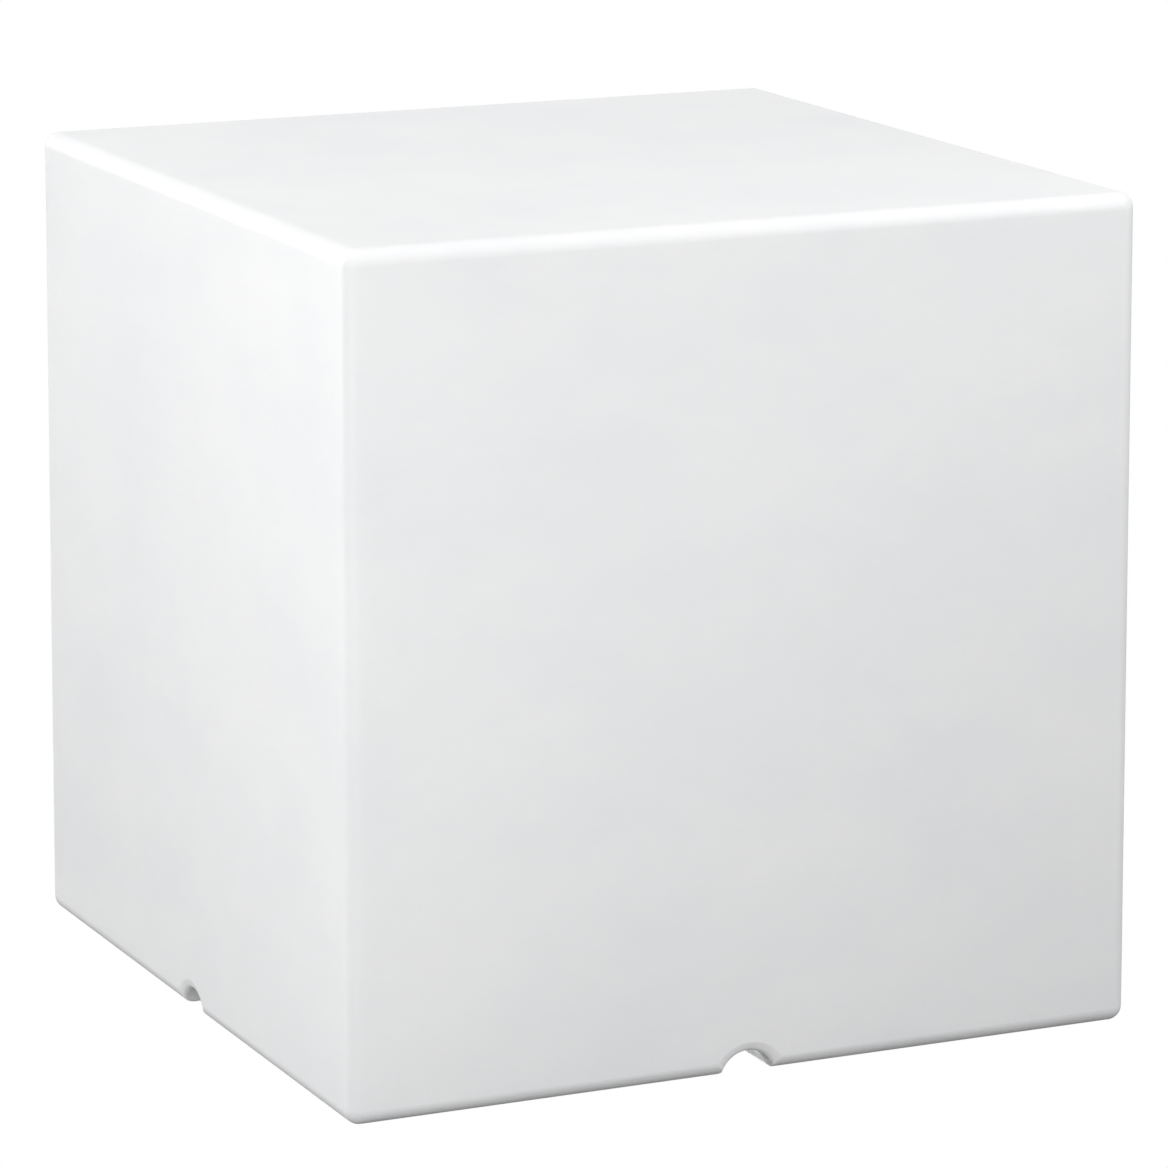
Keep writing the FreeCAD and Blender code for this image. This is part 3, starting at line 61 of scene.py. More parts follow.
camera_data = bpy.data.cameras.new("camera")
camera_data.sensor_width = SENSOR
camera_data.lens = FOCAL_PIXELS / PICTURE_PIXELS * SENSOR
camera_data.clip_start = 0.1
camera_data.clip_end = 100
camera = bpy.data.objects.new("camera", camera_data)
scene.collection.objects.link(camera)
facing = Matrix.Rotation(AZIMUTH, 4, "Z") @ Matrix.Rotation(math.pi / 2 - ELEVATION, 4, "X")
aim = Matrix.Translation((0, 0, TOP_SIDE / 2))
camera.matrix_world = aim @ facing @ Matrix.Translation(STAND_OFF) @ Matrix.Rotation(ROLL, 4, "Z")
scene.camera = camera


# The floor and the studio light
# Seamless white paper in an even white room, clear from below, where a lamp lights the underside.
# Soft boxes stand round the cube. The two high ones have polarising film and leave no shine.

FLOOR_RADIUS = 12.0
FLOOR_GAP = 0.0001
PAPER_BOUNCE = 0.25
PAPER_GLOW = 0.05
ROOM_LIGHT = 0.60
SOFT_BOXES = (
    # name, place, side, watts
    ("back_box", (-1.4, 1.4, 0.6), 1.2, 14.0),
    ("left_box", (-0.6, 0.0, 0.35), 0.35, 0.25),
    ("corner_box", (-0.64, -0.64, 0.35), 0.5, 2.0),
    ("low_front_box", (0.0, -0.6, 0.35), 0.35, 0.25),
    ("front_box", (0.3, -0.52, 0.6), 0.35, 0.4),
    ("top_box", (-0.52, 0.3, 1.8), 1.2, 8.0),
    ("right_box", (1.4, -1.4, 1.8), 1.2, 15.0),
)
FILM_ABOVE = 1.0
UNDER_LAMP_DEPTH = 0.03
UNDER_LAMP_SIDE = 0.376
UNDER_LAMP_WATTS = 0.28
UNDER_LAMP_BEAM = math.radians(8)


def seen_as(tree, kind):
    """The output that is 1 for one kind of light ray."""
    return tree.nodes.new("ShaderNodeLightPath").outputs[kind]


def mixed(tree, factor, first, second):
    """The output of a mix of two shaders."""
    mix = tree.nodes.new("ShaderNodeMixShader")
    tree.links.new(factor, mix.inputs["Fac"])
    tree.links.new(first, mix.inputs[1])
    tree.links.new(second, mix.inputs[2])
    return mix.outputs["Shader"]


def soft_box(name, place, side, watts):
    """A square lamp that looks at the middle of the cube. A high one leaves no shine on the skin."""
    lamp = bpy.data.lights.new(name, "AREA")
    lamp.shape = "SQUARE"
    lamp.size = side
    lamp.energy = watts
    box = bpy.data.objects.new(name, lamp)
    scene.collection.objects.link(box)
    box.visible_camera = False
    box.visible_glossy = place[2] < FILM_ABOVE
    towards_cube = Vector((0, 0, TOP_SIDE / 2)) - Vector(place)
    aimed = towards_cube.to_track_quat("-Z", "Y").to_matrix().to_4x4()
    box.matrix_world = Matrix.Translation(place) @ aimed
    return lamp


floor_mesh = bpy.data.meshes.new("floor")
floor_form = bmesh.new()
bmesh.ops.create_circle(floor_form, cap_ends=True, segments=96, radius=FLOOR_RADIUS)
bmesh.ops.translate(floor_form, vec=(0, 0, -FLOOR_GAP), verts=floor_form.verts)
floor_form.to_mesh(floor_mesh)
floor_form.free()
floor = bpy.data.objects.new("floor", floor_mesh)
scene.collection.objects.link(floor)

paper = bpy.data.materials.new("studio_paper")
paper.use_nodes = True
paper_tree = paper.node_tree
paper_white = paper_tree.nodes.new("ShaderNodeEmission")
paper_bounce = paper_tree.nodes.new("ShaderNodeBsdfDiffuse")
paper_bounce.inputs["Color"].default_value = (PAPER_BOUNCE, PAPER_BOUNCE, PAPER_BOUNCE, 1)
paper_glow = paper_tree.nodes.new("ShaderNodeEmission")
paper_glow.inputs["Strength"].default_value = PAPER_GLOW
paper_sheet = paper_tree.nodes.new("ShaderNodeAddShader")
paper_tree.links.new(paper_bounce.outputs["BSDF"], paper_sheet.inputs[0])
paper_tree.links.new(paper_glow.outputs["Emission"], paper_sheet.inputs[1])
paper_clear = paper_tree.nodes.new("ShaderNodeBsdfTransparent")
paper_side = paper_tree.nodes.new("ShaderNodeNewGeometry")
paper_above = mixed(paper_tree, seen_as(paper_tree, "Is Camera Ray"), paper_sheet.outputs["Shader"],
                    paper_white.outputs["Emission"])
paper_both = mixed(paper_tree, paper_side.outputs["Backfacing"], paper_above, paper_clear.outputs["BSDF"])
paper_all = mixed(paper_tree, seen_as(paper_tree, "Is Shadow Ray"), paper_both,
                  paper_clear.outputs["BSDF"])
paper_tree.links.new(paper_all, paper_tree.nodes["Material Output"].inputs["Surface"])
floor_mesh.materials.append(paper)

room = bpy.data.worlds.new("room")
room.use_nodes = True
room_tree = room.node_tree
room_where = room_tree.nodes.new("ShaderNodeTexCoord")
room_up = room_tree.nodes.new("ShaderNodeSeparateXYZ")
room_tree.links.new(room_where.outputs["Generated"], room_up.inputs["Vector"])
room_sky = room_tree.nodes.new("ShaderNodeMath")
room_sky.operation = "GREATER_THAN"
room_sky.inputs[1].default_value = 0
room_tree.links.new(room_up.outputs["Z"], room_sky.inputs[0])
room_level = room_tree.nodes.new("ShaderNodeMath")
room_level.operation = "MULTIPLY"
room_level.inputs[1].default_value = ROOM_LIGHT
room_tree.links.new(room_sky.outputs["Value"], room_level.inputs[0])
room_light = room_tree.nodes["Background"]
room_light.inputs["Color"].default_value = (1, 1, 1, 1)
room_tree.links.new(room_level.outputs["Value"], room_light.inputs["Strength"])
room_backdrop = room_tree.nodes.new("ShaderNodeBackground")
room_backdrop.inputs["Color"].default_value = (1, 1, 1, 1)
room_all = mixed(room_tree, seen_as(room_tree, "Is Camera Ray"), room_light.outputs["Background"],
                 room_backdrop.outputs["Background"])
room_tree.links.new(room_all, room_tree.nodes["World Output"].inputs["Surface"])
scene.world = room
scene.view_settings.view_transform = "Standard"

for name, place, side, watts in SOFT_BOXES:
    soft_box(name, place, side, watts)
under_lamp = soft_box("under_lamp", (0, 0, -UNDER_LAMP_DEPTH), UNDER_LAMP_SIDE, UNDER_LAMP_WATTS)
under_lamp.spread = UNDER_LAMP_BEAM


# The shell
# One rotomoulded piece of natural white polyethylene, 4 mm thick. Its satin skin is copied from
# the mould: a very fine orange peel, and clouds where the powder melted a little unevenly.

def new_finish(name, colour, roughness, metal=0.0):
    """A new material of one base colour, to which grain, tones, gloss and relief are added."""
    finish = bpy.data.materials.new(name)
    finish.use_nodes = True
    shader = finish.node_tree.nodes["Principled BSDF"]
    shader.inputs["Base Color"].default_value = (*colour, 1)
    shader.inputs["Roughness"].default_value = roughness
    shader.inputs["Metallic"].default_value = metal
    return finish


def shader_of(finish):
    """The main shader of a finish."""
    return finish.node_tree.nodes["Principled BSDF"]


def own_place(finish, stretch=(1, 1, 1)):
    """The piece's own coordinates in metres, stretched along its axes."""
    tree = finish.node_tree
    where = tree.nodes.new("ShaderNodeTexCoord")
    mapping = tree.nodes.new("ShaderNodeMapping")
    mapping.inputs["Scale"].default_value = stretch
    tree.links.new(where.outputs["Object"], mapping.inputs["Vector"])
    return mapping.outputs["Vector"]


def grain(finish, scale, detail=2.0, coarse=0.5, stretch=(1, 1, 1)):
    """A cloudy noise over the piece, from 0 to 1."""
    tree = finish.node_tree
    noise = tree.nodes.new("ShaderNodeTexNoise")
    noise.inputs["Scale"].default_value = scale
    noise.inputs["Detail"].default_value = detail
    noise.inputs["Roughness"].default_value = coarse
    tree.links.new(own_place(finish, stretch=stretch), noise.inputs["Vector"])
    return noise.outputs["Fac"]


def bubbles(finish, scale, feature="F1"):
    """The distance to the middle, or to the edge, of the nearest bubble of a foam-like pattern."""
    tree = finish.node_tree
    foam = tree.nodes.new("ShaderNodeTexVoronoi")
    foam.feature = feature
    foam.inputs["Scale"].default_value = scale
    tree.links.new(own_place(finish), foam.inputs["Vector"])
    return foam.outputs["Distance"]


def tones(finish, factor, dark, light, low=0.3, high=0.7):
    """Base colour that runs from dark to light as the factor goes from low to high."""
    tree = finish.node_tree
    ramp = tree.nodes.new("ShaderNodeValToRGB")
    ramp.color_ramp.elements[0].position = low
    ramp.color_ramp.elements[0].color = (*dark, 1)
    ramp.color_ramp.elements[1].position = high
    ramp.color_ramp.elements[1].color = (*light, 1)
    tree.links.new(factor, ramp.inputs["Fac"])
    tree.links.new(ramp.outputs["Color"], shader_of(finish).inputs["Base Color"])


def gloss(finish, factor, smooth, rough):
    """Roughness that runs from smooth to rough with the factor."""
    tree = finish.node_tree
    spread = tree.nodes.new("ShaderNodeMapRange")
    spread.inputs["To Min"].default_value = smooth
    spread.inputs["To Max"].default_value = rough
    tree.links.new(factor, spread.inputs["Value"])
    tree.links.new(spread.outputs["Result"], shader_of(finish).inputs["Roughness"])


def relief(finish, height, depth, strength=0.4):
    """Surface relief of a depth in metres, on top of what relief there is."""
    tree = finish.node_tree
    bump = tree.nodes.new("ShaderNodeBump")
    bump.inputs["Strength"].default_value = strength
    bump.inputs["Distance"].default_value = depth
    tree.links.new(height, bump.inputs["Height"])
    normal = shader_of(finish).inputs["Normal"]
    if normal.is_linked:
        tree.links.new(normal.links[0].from_socket, bump.inputs["Normal"])
    tree.links.new(bump.outputs["Normal"], normal)


def dress(finish, *names):
    """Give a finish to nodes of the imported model."""
    for name in names:
        nodes[name].data.materials.clear()
        nodes[name].data.materials.append(finish)


polyethylene = new_finish("polyethylene", (0.863, 0.867, 0.872), 0.42)
tones(polyethylene, grain(polyethylene, 9, 6, 0.62, (1.0, 1.0, 1.7)),
      (0.838, 0.845, 0.856), (0.887, 0.888, 0.889))
gloss(polyethylene, grain(polyethylene, 22, 3), 0.36, 0.48)
relief(polyethylene, grain(polyethylene, 420, 3), 0.0002, 0.25)
skin = shader_of(polyethylene)
skin.inputs["Subsurface Weight"].default_value = 0.35
skin.inputs["Subsurface Radius"].default_value = (1.0, 0.95, 0.9)
skin.inputs["Subsurface Scale"].default_value = 0.006
skin.inputs["IOR"].default_value = 1.51
dress(polyethylene, "cube_shell")


# The thread inserts
# Six turned brass bushes with two knurled bands each, put on pins in the mould so that the
# polyethylene flows round them. The screws of the light unit go into them from below.

INSERT_RADIUS = 0.0045
INSERT_BORE = 0.0021
INSERT_LENGTH = 0.010
INSERT_END = INSERT_RADIUS * 0.93
INSERT_CHAMFER = 0.0004
GROOVE_RADIUS = INSERT_RADIUS * 0.86
GROOVE_LOW = INSERT_LENGTH * 0.42
GROOVE_HIGH = INSERT_LENGTH * 0.58
KNURL_POINTS = 56
KNURL_BOTTOM = 0.955
UNIT_SCREWS = 6
UNIT_SCREW_HEAD = 0.004


def turned(profile, steps, closed=True):
    """A mesh turned about the vertical axis from a profile of (radius, height) points."""
    form = bmesh.new()
    points = [form.verts.new((radius, 0, height)) for radius, height in profile]
    lines = [form.edges.new(pair) for pair in zip(points, points[1:])]
    if closed:
        lines.append(form.edges.new((points[-1], points[0])))
    bmesh.ops.spin(form, geom=points + lines, cent=(0, 0, 0), axis=(0, 0, 1), angle=2 * math.pi,
                   steps=steps, use_merge=True)
    bmesh.ops.remove_doubles(form, verts=form.verts, dist=1e-7)
    return form


def add_copy(whole, form, matrix):
    """Add a copy of one mesh under construction to another, moved by a matrix."""
    mesh = bpy.data.meshes.new("copy")
    form.to_mesh(mesh)
    mesh.transform(matrix)
    whole.from_mesh(mesh)
    bpy.data.meshes.remove(mesh)


def round_the_axis(count, radius, height, start=0.0):
    """Matrices of places evenly round the vertical axis, each turned to face outward."""
    places = []
    for number in range(count):
        angle = start + number * 2 * math.pi / count
        out = Matrix.Translation((radius * math.cos(angle), radius * math.sin(angle), height))
        places.append(out @ Matrix.Rotation(angle, 4, "Z"))
    return places


def new_piece(name, form, finish, body="housing", stands_for=(), sharp=35):
    """Make a mesh under construction into a piece that rides on a body."""
    bmesh.ops.recalc_face_normals(form, faces=form.faces)
    mesh = bpy.data.meshes.new(name)
    form.to_mesh(mesh)
    form.free()
    mesh.shade_smooth()
    mesh.set_sharp_from_angle(angle=math.radians(sharp))
    mesh.materials.append(finish)
    piece = bpy.data.objects.new(name, mesh)
    scene.collection.objects.link(piece)
    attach(piece, body)
    if stands_for:
        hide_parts(*stands_for)


brass = new_finish("brass", (0.72, 0.55, 0.25), 0.3, 1.0)
tones(brass, grain(brass, 700, 3), (0.62, 0.45, 0.19), (0.76, 0.60, 0.30))
gloss(brass, grain(brass, 2500, 2, 0.5, (1, 1, 0.1)), 0.22, 0.38)

screw_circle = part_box("unit_screws")[1].x - UNIT_SCREW_HEAD
deck_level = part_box("thread_inserts")[0].z
insert = turned([
    (INSERT_BORE, 0), (INSERT_END, 0), (INSERT_RADIUS, INSERT_CHAMFER),
    (INSERT_RADIUS, GROOVE_LOW), (GROOVE_RADIUS, GROOVE_LOW),
    (GROOVE_RADIUS, GROOVE_HIGH), (INSERT_RADIUS, GROOVE_HIGH),
    (INSERT_RADIUS, INSERT_LENGTH - INSERT_CHAMFER), (INSERT_END, INSERT_LENGTH),
    (INSERT_BORE, INSERT_LENGTH),
], KNURL_POINTS)
for point in insert.verts:
    across = Vector((point.co.x, point.co.y))
    every_other = round(math.atan2(across.y, across.x) / (2 * math.pi) * KNURL_POINTS) % 2
    if across.length > (INSERT_RADIUS + INSERT_END) / 2 and every_other:
        point.co.x *= KNURL_BOTTOM
        point.co.y *= KNURL_BOTTOM
inserts = bmesh.new()
for place in round_the_axis(UNIT_SCREWS, screw_circle, deck_level):
    add_copy(inserts, insert, place)
insert.free()
new_piece("knurled_inserts", inserts, brass, stands_for=("thread_inserts",), sharp=25)


# The gasket
# A flat ring die-cut from black closed-cell foam, squeezed between the recess's ceiling and the
# light unit. Its cut faces show the foam's open pores, each sunk in relief and painted darker towards its
# middle as painted shade in the pore.

black_foam = new_finish("black_foam", (0.03, 0.03, 0.03), 0.9)
# Each pore is painted darker towards its middle: painted shade in the pore.
tones(black_foam, bubbles(black_foam, 1600), (0.012, 0.012, 0.012), (0.045, 0.045, 0.046), 0.05, 0.6)
relief(black_foam, bubbles(black_foam, 1600), 0.0002, 0.8)
gloss(black_foam, grain(black_foam, 300, 2), 0.82, 0.97)
dress(black_foam, "foam_gasket")


# The diffuser cap
# The light unit's cap, injection-moulded from opal polycarbonate and frosted inside, so that the
# chips don't show as points through the shell.

opal = new_finish("opal_plastic", (0.9, 0.9, 0.88), 0.5)
tones(opal, grain(opal, 30, 4), (0.87, 0.875, 0.86), (0.92, 0.92, 0.905))
gloss(opal, grain(opal, 900, 2), 0.42, 0.58)
relief(opal, grain(opal, 2200, 2), 0.00008, 0.35)
milk = shader_of(opal)
milk.inputs["Subsurface Weight"].default_value = 0.6
milk.inputs["Subsurface Radius"].default_value = (1.0, 0.97, 0.9)
milk.inputs["Subsurface Scale"].default_value = 0.004
milk.inputs["IOR"].default_value = 1.58
dress(opal, "diffuser_cap", "charge_light")


# The seals
# Grey silicone rings, moulded and a little dusty: under the cap's flange, round the button and
# under the charging socket.

grey_silicone = new_finish("grey_silicone", (0.45, 0.46, 0.47), 0.6)
tones(grey_silicone, grain(grey_silicone, 260, 4), (0.40, 0.41, 0.42), (0.49, 0.50, 0.51))
gloss(grey_silicone, grain(grey_silicone, 120, 3), 0.5, 0.7)
relief(grey_silicone, grain(grey_silicone, 3000, 2), 0.00005, 0.3)
dress(grey_silicone, "unit_seal", "button_ring", "socket_seal")


# The base
# The light unit's base, moulded from light grey ABS. Its outside has the even matte grain that
# spark erosion leaves on a mould, and long flow clouds from the gate in the middle.

base_plastic = new_finish("base_plastic", (0.78, 0.79, 0.8), 0.5)
tones(base_plastic, grain(base_plastic, 14, 5, 0.6), (0.745, 0.757, 0.77), (0.80, 0.81, 0.82))
gloss(base_plastic, grain(base_plastic, 1800, 2), 0.44, 0.6)
relief(base_plastic, grain(base_plastic, 2600, 3, 0.6), 0.0001, 0.5)
relief(base_plastic, bubbles(base_plastic, 1500), 0.00006, 0.3)
dress(base_plastic, "unit_base")


# The screws
# Pan-head screws with a cross recess and a rolled thread: six of stainless steel through the
# unit's flange, and zinc-plated ones for the boards and the battery strap.

RECESS_REACH = 0.5            # the cross recess, as shares of the head's radius and rise
RECESS_HALF_WIDTH = 0.11
RECESS_DEPTH = 0.6
RECESS_TAPER = 0.55
HEAD_POINTS = 36
HEAD_FLAT = 0.62
HEAD_ROUND = ((0.82, 0.90), (0.95, 0.66), (1.0, 0.36), (1.0, 0.06), (0.985, 0.0))
SHANK_TIP = 0.6
THREAD_SINK = 0.45            # the thread, as shares of its pitch
THREAD_SIZE = 0.62
THREAD_HIGH = 0.5
THREAD_WIDE = 0.7
THREAD_ROOT = 0.1
THREADED = 0.7
THREAD_STEPS = 14


def ring_of_edges(form, edges, radius, height):
    """Draw a round loop of edges out to a new radius and height, and return the new loop."""
    drawn = bmesh.ops.extrude_edge_only(form, edges=edges)["geom"]
    points = {item for item in drawn if isinstance(item, bmesh.types.BMVert)}
    for point in points:
        out = Vector((point.co.x, point.co.y)).normalized() * radius
        point.co = (out.x, out.y, height)
    return [item for item in drawn if isinstance(item, bmesh.types.BMEdge) and set(item.verts) <= points]


def cross_screw(head, rise, shank, length, pitch):
    """A screw with its head up and the underside of its head at height 0."""
    form = bmesh.new()
    arm = head * RECESS_REACH
    slot = head * RECESS_HALF_WIDTH
    bmesh.ops.create_grid(form, x_segments=3, y_segments=3, size=arm)
    for point in form.verts:
        for axis in (0, 1):
            if abs(point.co[axis]) < arm / 2:
                point.co[axis] = math.copysign(slot, point.co[axis])
        point.co.z = rise
    corners = [face for face in form.faces if min(abs(c) for c in face.calc_center_median()[:2]) > slot]
    bmesh.ops.delete(form, geom=corners, context="FACES")
    cross = form.faces[:]
    rim = [edge for edge in form.edges if edge.is_boundary]
    sunk = bmesh.ops.extrude_face_region(form, geom=cross)["geom"]
    floor_points = [item for item in sunk if isinstance(item, bmesh.types.BMVert)]
    bmesh.ops.scale(form, vec=(RECESS_TAPER, RECESS_TAPER, 1), verts=floor_points)
    bmesh.ops.translate(form, vec=(0, 0, -rise * RECESS_DEPTH), verts=floor_points)
    bmesh.ops.delete(form, geom=[face for face in cross if face.is_valid], context="FACES_ONLY")
    circle = bmesh.ops.create_circle(form, segments=HEAD_POINTS, radius=head * HEAD_FLAT)["verts"]
    for point in circle:
        point.co.z = rise
    loop = [edge for edge in form.edges if edge.verts[0] in circle and edge.verts[1] in circle]
    bmesh.ops.bridge_loops(form, edges=rim + loop)
    for out, up in HEAD_ROUND:
        loop = ring_of_edges(form, loop, head * out, rise * up)
    core = shank - pitch * THREAD_SINK
    for radius, height in ((core, 0), (core, pitch - length), (core * SHANK_TIP, -length)):
        loop = ring_of_edges(form, loop, radius, height)
    bmesh.ops.holes_fill(form, edges=loop)

    ridge = bmesh.new()
    section = bmesh.ops.create_circle(ridge, cap_ends=True, segments=3, radius=pitch * THREAD_SIZE)["verts"]
    low = min(point.co.y for point in section)
    for point in section:
        away, along = point.co.x, point.co.y - low
        point.co = (core - pitch * THREAD_ROOT + along * THREAD_HIGH, 0, away * THREAD_WIDE)
    steps = int(THREADED * length / pitch * THREAD_STEPS)
    bmesh.ops.translate(ridge, vec=(0, 0, pitch - length), verts=ridge.verts)
    bmesh.ops.spin(ridge, geom=ridge.faces[:] + ridge.edges[:] + ridge.verts[:], cent=(0, 0, 0),
                   axis=(0, 0, 1), dvec=(0, 0, pitch / THREAD_STEPS),
                   angle=steps * 2 * math.pi / THREAD_STEPS, steps=steps)
    add_copy(form, ridge, Matrix())
    ridge.free()
    return form


SCREW_TURN = 0.77


def screws_at(name, places, screw, finish, stands_for):
    """Copies of a screw at each place, each with its recess turned another way."""
    whole = bmesh.new()
    for number, place in enumerate(places):
        add_copy(whole, screw, place @ Matrix.Rotation(number * SCREW_TURN, 4, "Z"))
    screw.free()
    new_piece(name, whole, finish, stands_for=(stands_for,), sharp=30)


stainless = new_finish("stainless_steel", (0.6, 0.6, 0.58), 0.3, 1.0)
tones(stainless, grain(stainless, 900, 3), (0.54, 0.54, 0.53), (0.66, 0.66, 0.645))
gloss(stainless, grain(stainless, 3500, 2, 0.5, (1, 1, 0.2)), 0.2, 0.4)
relief(stainless, grain(stainless, 4000, 2), 0.00002, 0.3)

zinc = new_finish("zinc_steel", (0.62, 0.63, 0.64), 0.35, 1.0)
tones(zinc, grain(zinc, 600, 4), (0.55, 0.57, 0.60), (0.68, 0.68, 0.67))
gloss(zinc, grain(zinc, 2000, 2), 0.28, 0.45)

UNIT_HEAD_RISE = 0.0026
UNIT_SHANK = 0.002
UNIT_SCREW_LENGTH = 0.018
UNIT_PITCH = 0.0007
head_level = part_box("sealing_washers")[0].z
head_down = Matrix.Rotation(math.pi, 4, "X")
screws_at("flange_screws",
          [place @ head_down for place in round_the_axis(UNIT_SCREWS, screw_circle, head_level)],
          cross_screw(UNIT_SCREW_HEAD, UNIT_HEAD_RISE, UNIT_SHANK, UNIT_SCREW_LENGTH, UNIT_PITCH),
          stainless, "unit_screws")

SMALL_HEAD = 0.0025
SMALL_HEAD_RISE = 0.0018
SMALL_SHANK = 0.00125
SMALL_PITCH = 0.0006
BOARD_SCREW_LENGTH = 0.008
STRAP_SCREW_LENGTH = 0.004
LAMP_BOARD_SCREWS = 3


def small_screw(length):
    """A zinc-plated screw of the size that holds the boards and the strap."""
    return cross_screw(SMALL_HEAD, SMALL_HEAD_RISE, SMALL_SHANK, length, SMALL_PITCH)


board_low, board_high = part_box("board_screws")
board_head_level = board_high.z - SMALL_HEAD_RISE
screws_at("control_board_screws",
          [Matrix.Translation((x, y, board_head_level))
           for x in (board_low.x + SMALL_HEAD, board_high.x - SMALL_HEAD)
           for y in (board_low.y + SMALL_HEAD, board_high.y - SMALL_HEAD)],
          small_screw(BOARD_SCREW_LENGTH), zinc, "board_screws")
lamp_screws_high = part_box("lamp_screws")[1]
screws_at("lamp_board_screws",
          round_the_axis(LAMP_BOARD_SCREWS, lamp_screws_high.y - SMALL_HEAD,
                         lamp_screws_high.z - SMALL_HEAD_RISE, math.pi / 2),
          small_screw(BOARD_SCREW_LENGTH), zinc, "lamp_screws")
strap_low, strap_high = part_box("strap_screws")
screws_at("battery_strap_screws",
          [Matrix.Translation((0, y, strap_high.z - SMALL_HEAD_RISE))
           for y in (strap_low.y + SMALL_HEAD, strap_high.y - SMALL_HEAD)],
          small_screw(STRAP_SCREW_LENGTH), zinc, "strap_screws")


# The sealing washers
# Punched black rubber washers, one under each screw's head.

washer_rubber = new_finish("washer_rubber", (0.05, 0.05, 0.05), 0.7)
tones(washer_rubber, grain(washer_rubber, 800, 4), (0.030, 0.030, 0.031), (0.065, 0.065, 0.064))
gloss(washer_rubber, grain(washer_rubber, 300, 2), 0.6, 0.8)
relief(washer_rubber, grain(washer_rubber, 2500, 2), 0.00006, 0.4)
dress(washer_rubber, "sealing_washers")


# The button
# A dark grey ABS cap with a finger dish, moulded with a finer grain than the base.

button_plastic = new_finish("button_plastic", (0.2, 0.21, 0.22), 0.45)
tones(button_plastic, grain(button_plastic, 90, 4), (0.17, 0.18, 0.19), (0.225, 0.235, 0.245))
gloss(button_plastic, grain(button_plastic, 3500, 2), 0.36, 0.52)
relief(button_plastic, grain(button_plastic, 4500, 3, 0.6), 0.00006, 0.45)
dress(button_plastic, "button_cap")


# The black mouldings
# Glass-filled black plastic: the switch and its plunger, the breather, the battery's tray and
# strap. The fibres show as a faint streaky bloom.

black_plastic = new_finish("black_plastic", (0.04, 0.04, 0.04), 0.45)
tones(black_plastic, grain(black_plastic, 500, 5, 0.7, (1, 4, 1)), (0.028, 0.028, 0.029),
      (0.052, 0.052, 0.053))
gloss(black_plastic, grain(black_plastic, 1500, 3), 0.36, 0.56)
relief(black_plastic, grain(black_plastic, 2800, 2), 0.00006, 0.35)
dress(black_plastic, "switch_plunger", "push_switch", "breather_plug", "battery_tray", "battery_strap")


# The charging socket
# A black nylon barrel socket with a nickel-plated pin, nut and tags, fixed in the roof of the
# control pocket. The nut is clamped from inside.

socket_plastic = new_finish("socket_plastic", (0.03, 0.03, 0.03), 0.35)
tones(socket_plastic, grain(socket_plastic, 250, 4), (0.022, 0.022, 0.023), (0.040, 0.040, 0.041))
gloss(socket_plastic, grain(socket_plastic, 1200, 2), 0.26, 0.44)
relief(socket_plastic, grain(socket_plastic, 3600, 2), 0.00003, 0.3)
dress(socket_plastic, "charging_socket")

nickel = new_finish("nickel", (0.7, 0.68, 0.64), 0.25, 1.0)
tones(nickel, grain(nickel, 450, 4), (0.63, 0.61, 0.57), (0.74, 0.72, 0.68))
gloss(nickel, grain(nickel, 2600, 2, 0.5, (1, 0.15, 1)), 0.18, 0.36)
relief(nickel, grain(nickel, 3000, 2, 0.5, (1, 0.1, 1)), 0.00002, 0.3)
dress(nickel, "socket_pin", "socket_nut", "socket_tags", "battery_contacts")


# The socket's cover
# Dark grey silicone, moulded in one with its tether and anchor, which is pushed into the base.
# Three low ribs on the pull tab give a fingernail a hold.

cover_silicone = new_finish("cover_silicone", (0.14, 0.145, 0.15), 0.62)
tones(cover_silicone, grain(cover_silicone, 350, 4), (0.115, 0.12, 0.125), (0.16, 0.165, 0.17))
gloss(cover_silicone, grain(cover_silicone, 200, 3), 0.54, 0.72)
relief(cover_silicone, grain(cover_silicone, 3200, 2), 0.00004, 0.35)
dress(cover_silicone, "port_cover", "tether_anchor")

GRIP_RIBS = 3
RIB_LENGTH = 0.0036
RIB_WIDTH = 0.0004
RIB_HEIGHT = 0.0005
RIB_EDGE = 0.00012
RIB_PITCH = 0.0009
FIRST_RIB = 0.0012
TAB_STEP = 0.0005
cover_low, cover_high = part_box("port_cover")
tab_middle = (cover_low.y + cover_high.y) / 2
tab_face = cover_low.z + TAB_STEP
grip = bmesh.new()
for number in range(GRIP_RIBS):
    rib = bmesh.ops.create_cube(grip, size=1)["verts"]
    bmesh.ops.scale(grip, vec=(RIB_WIDTH, RIB_LENGTH, RIB_HEIGHT), verts=rib)
    bmesh.ops.translate(grip, vec=(cover_low.x + FIRST_RIB + number * RIB_PITCH, tab_middle, tab_face),
                        verts=rib)
bmesh.ops.bevel(grip, geom=grip.edges[:], offset=RIB_EDGE, offset_type="OFFSET", segments=2,
                affect="EDGES", profile=0.5, material=-1)
new_piece("tab_grip", grip, cover_silicone, body="socket_cover")


# The light pipe
# A short rod of clear acrylic that carries the charge light to the control pocket, with the
# faint flow lines of its moulding.

clear_acrylic = new_finish("clear_acrylic", (0.93, 0.95, 0.95), 0.08)
gloss(clear_acrylic, grain(clear_acrylic, 900, 2), 0.04, 0.14)
relief(clear_acrylic, grain(clear_acrylic, 700, 2, 0.5, (1, 1, 0.2)), 0.00004, 0.25)
clear = shader_of(clear_acrylic)
clear.inputs["Transmission Weight"].default_value = 0.9
clear.inputs["IOR"].default_value = 1.49
dress(clear_acrylic, "light_pipe")


# The control board
# Green solder resist over etched copper on glass fibre. The copper's tracks show through as paler
# lines, and each pad is tinned. The parts on it are soldered from above.

TRACK_LENGTH = 0.0123
TRACK_SPACING = 0.0027
TRACK_WIDTH = 0.00035

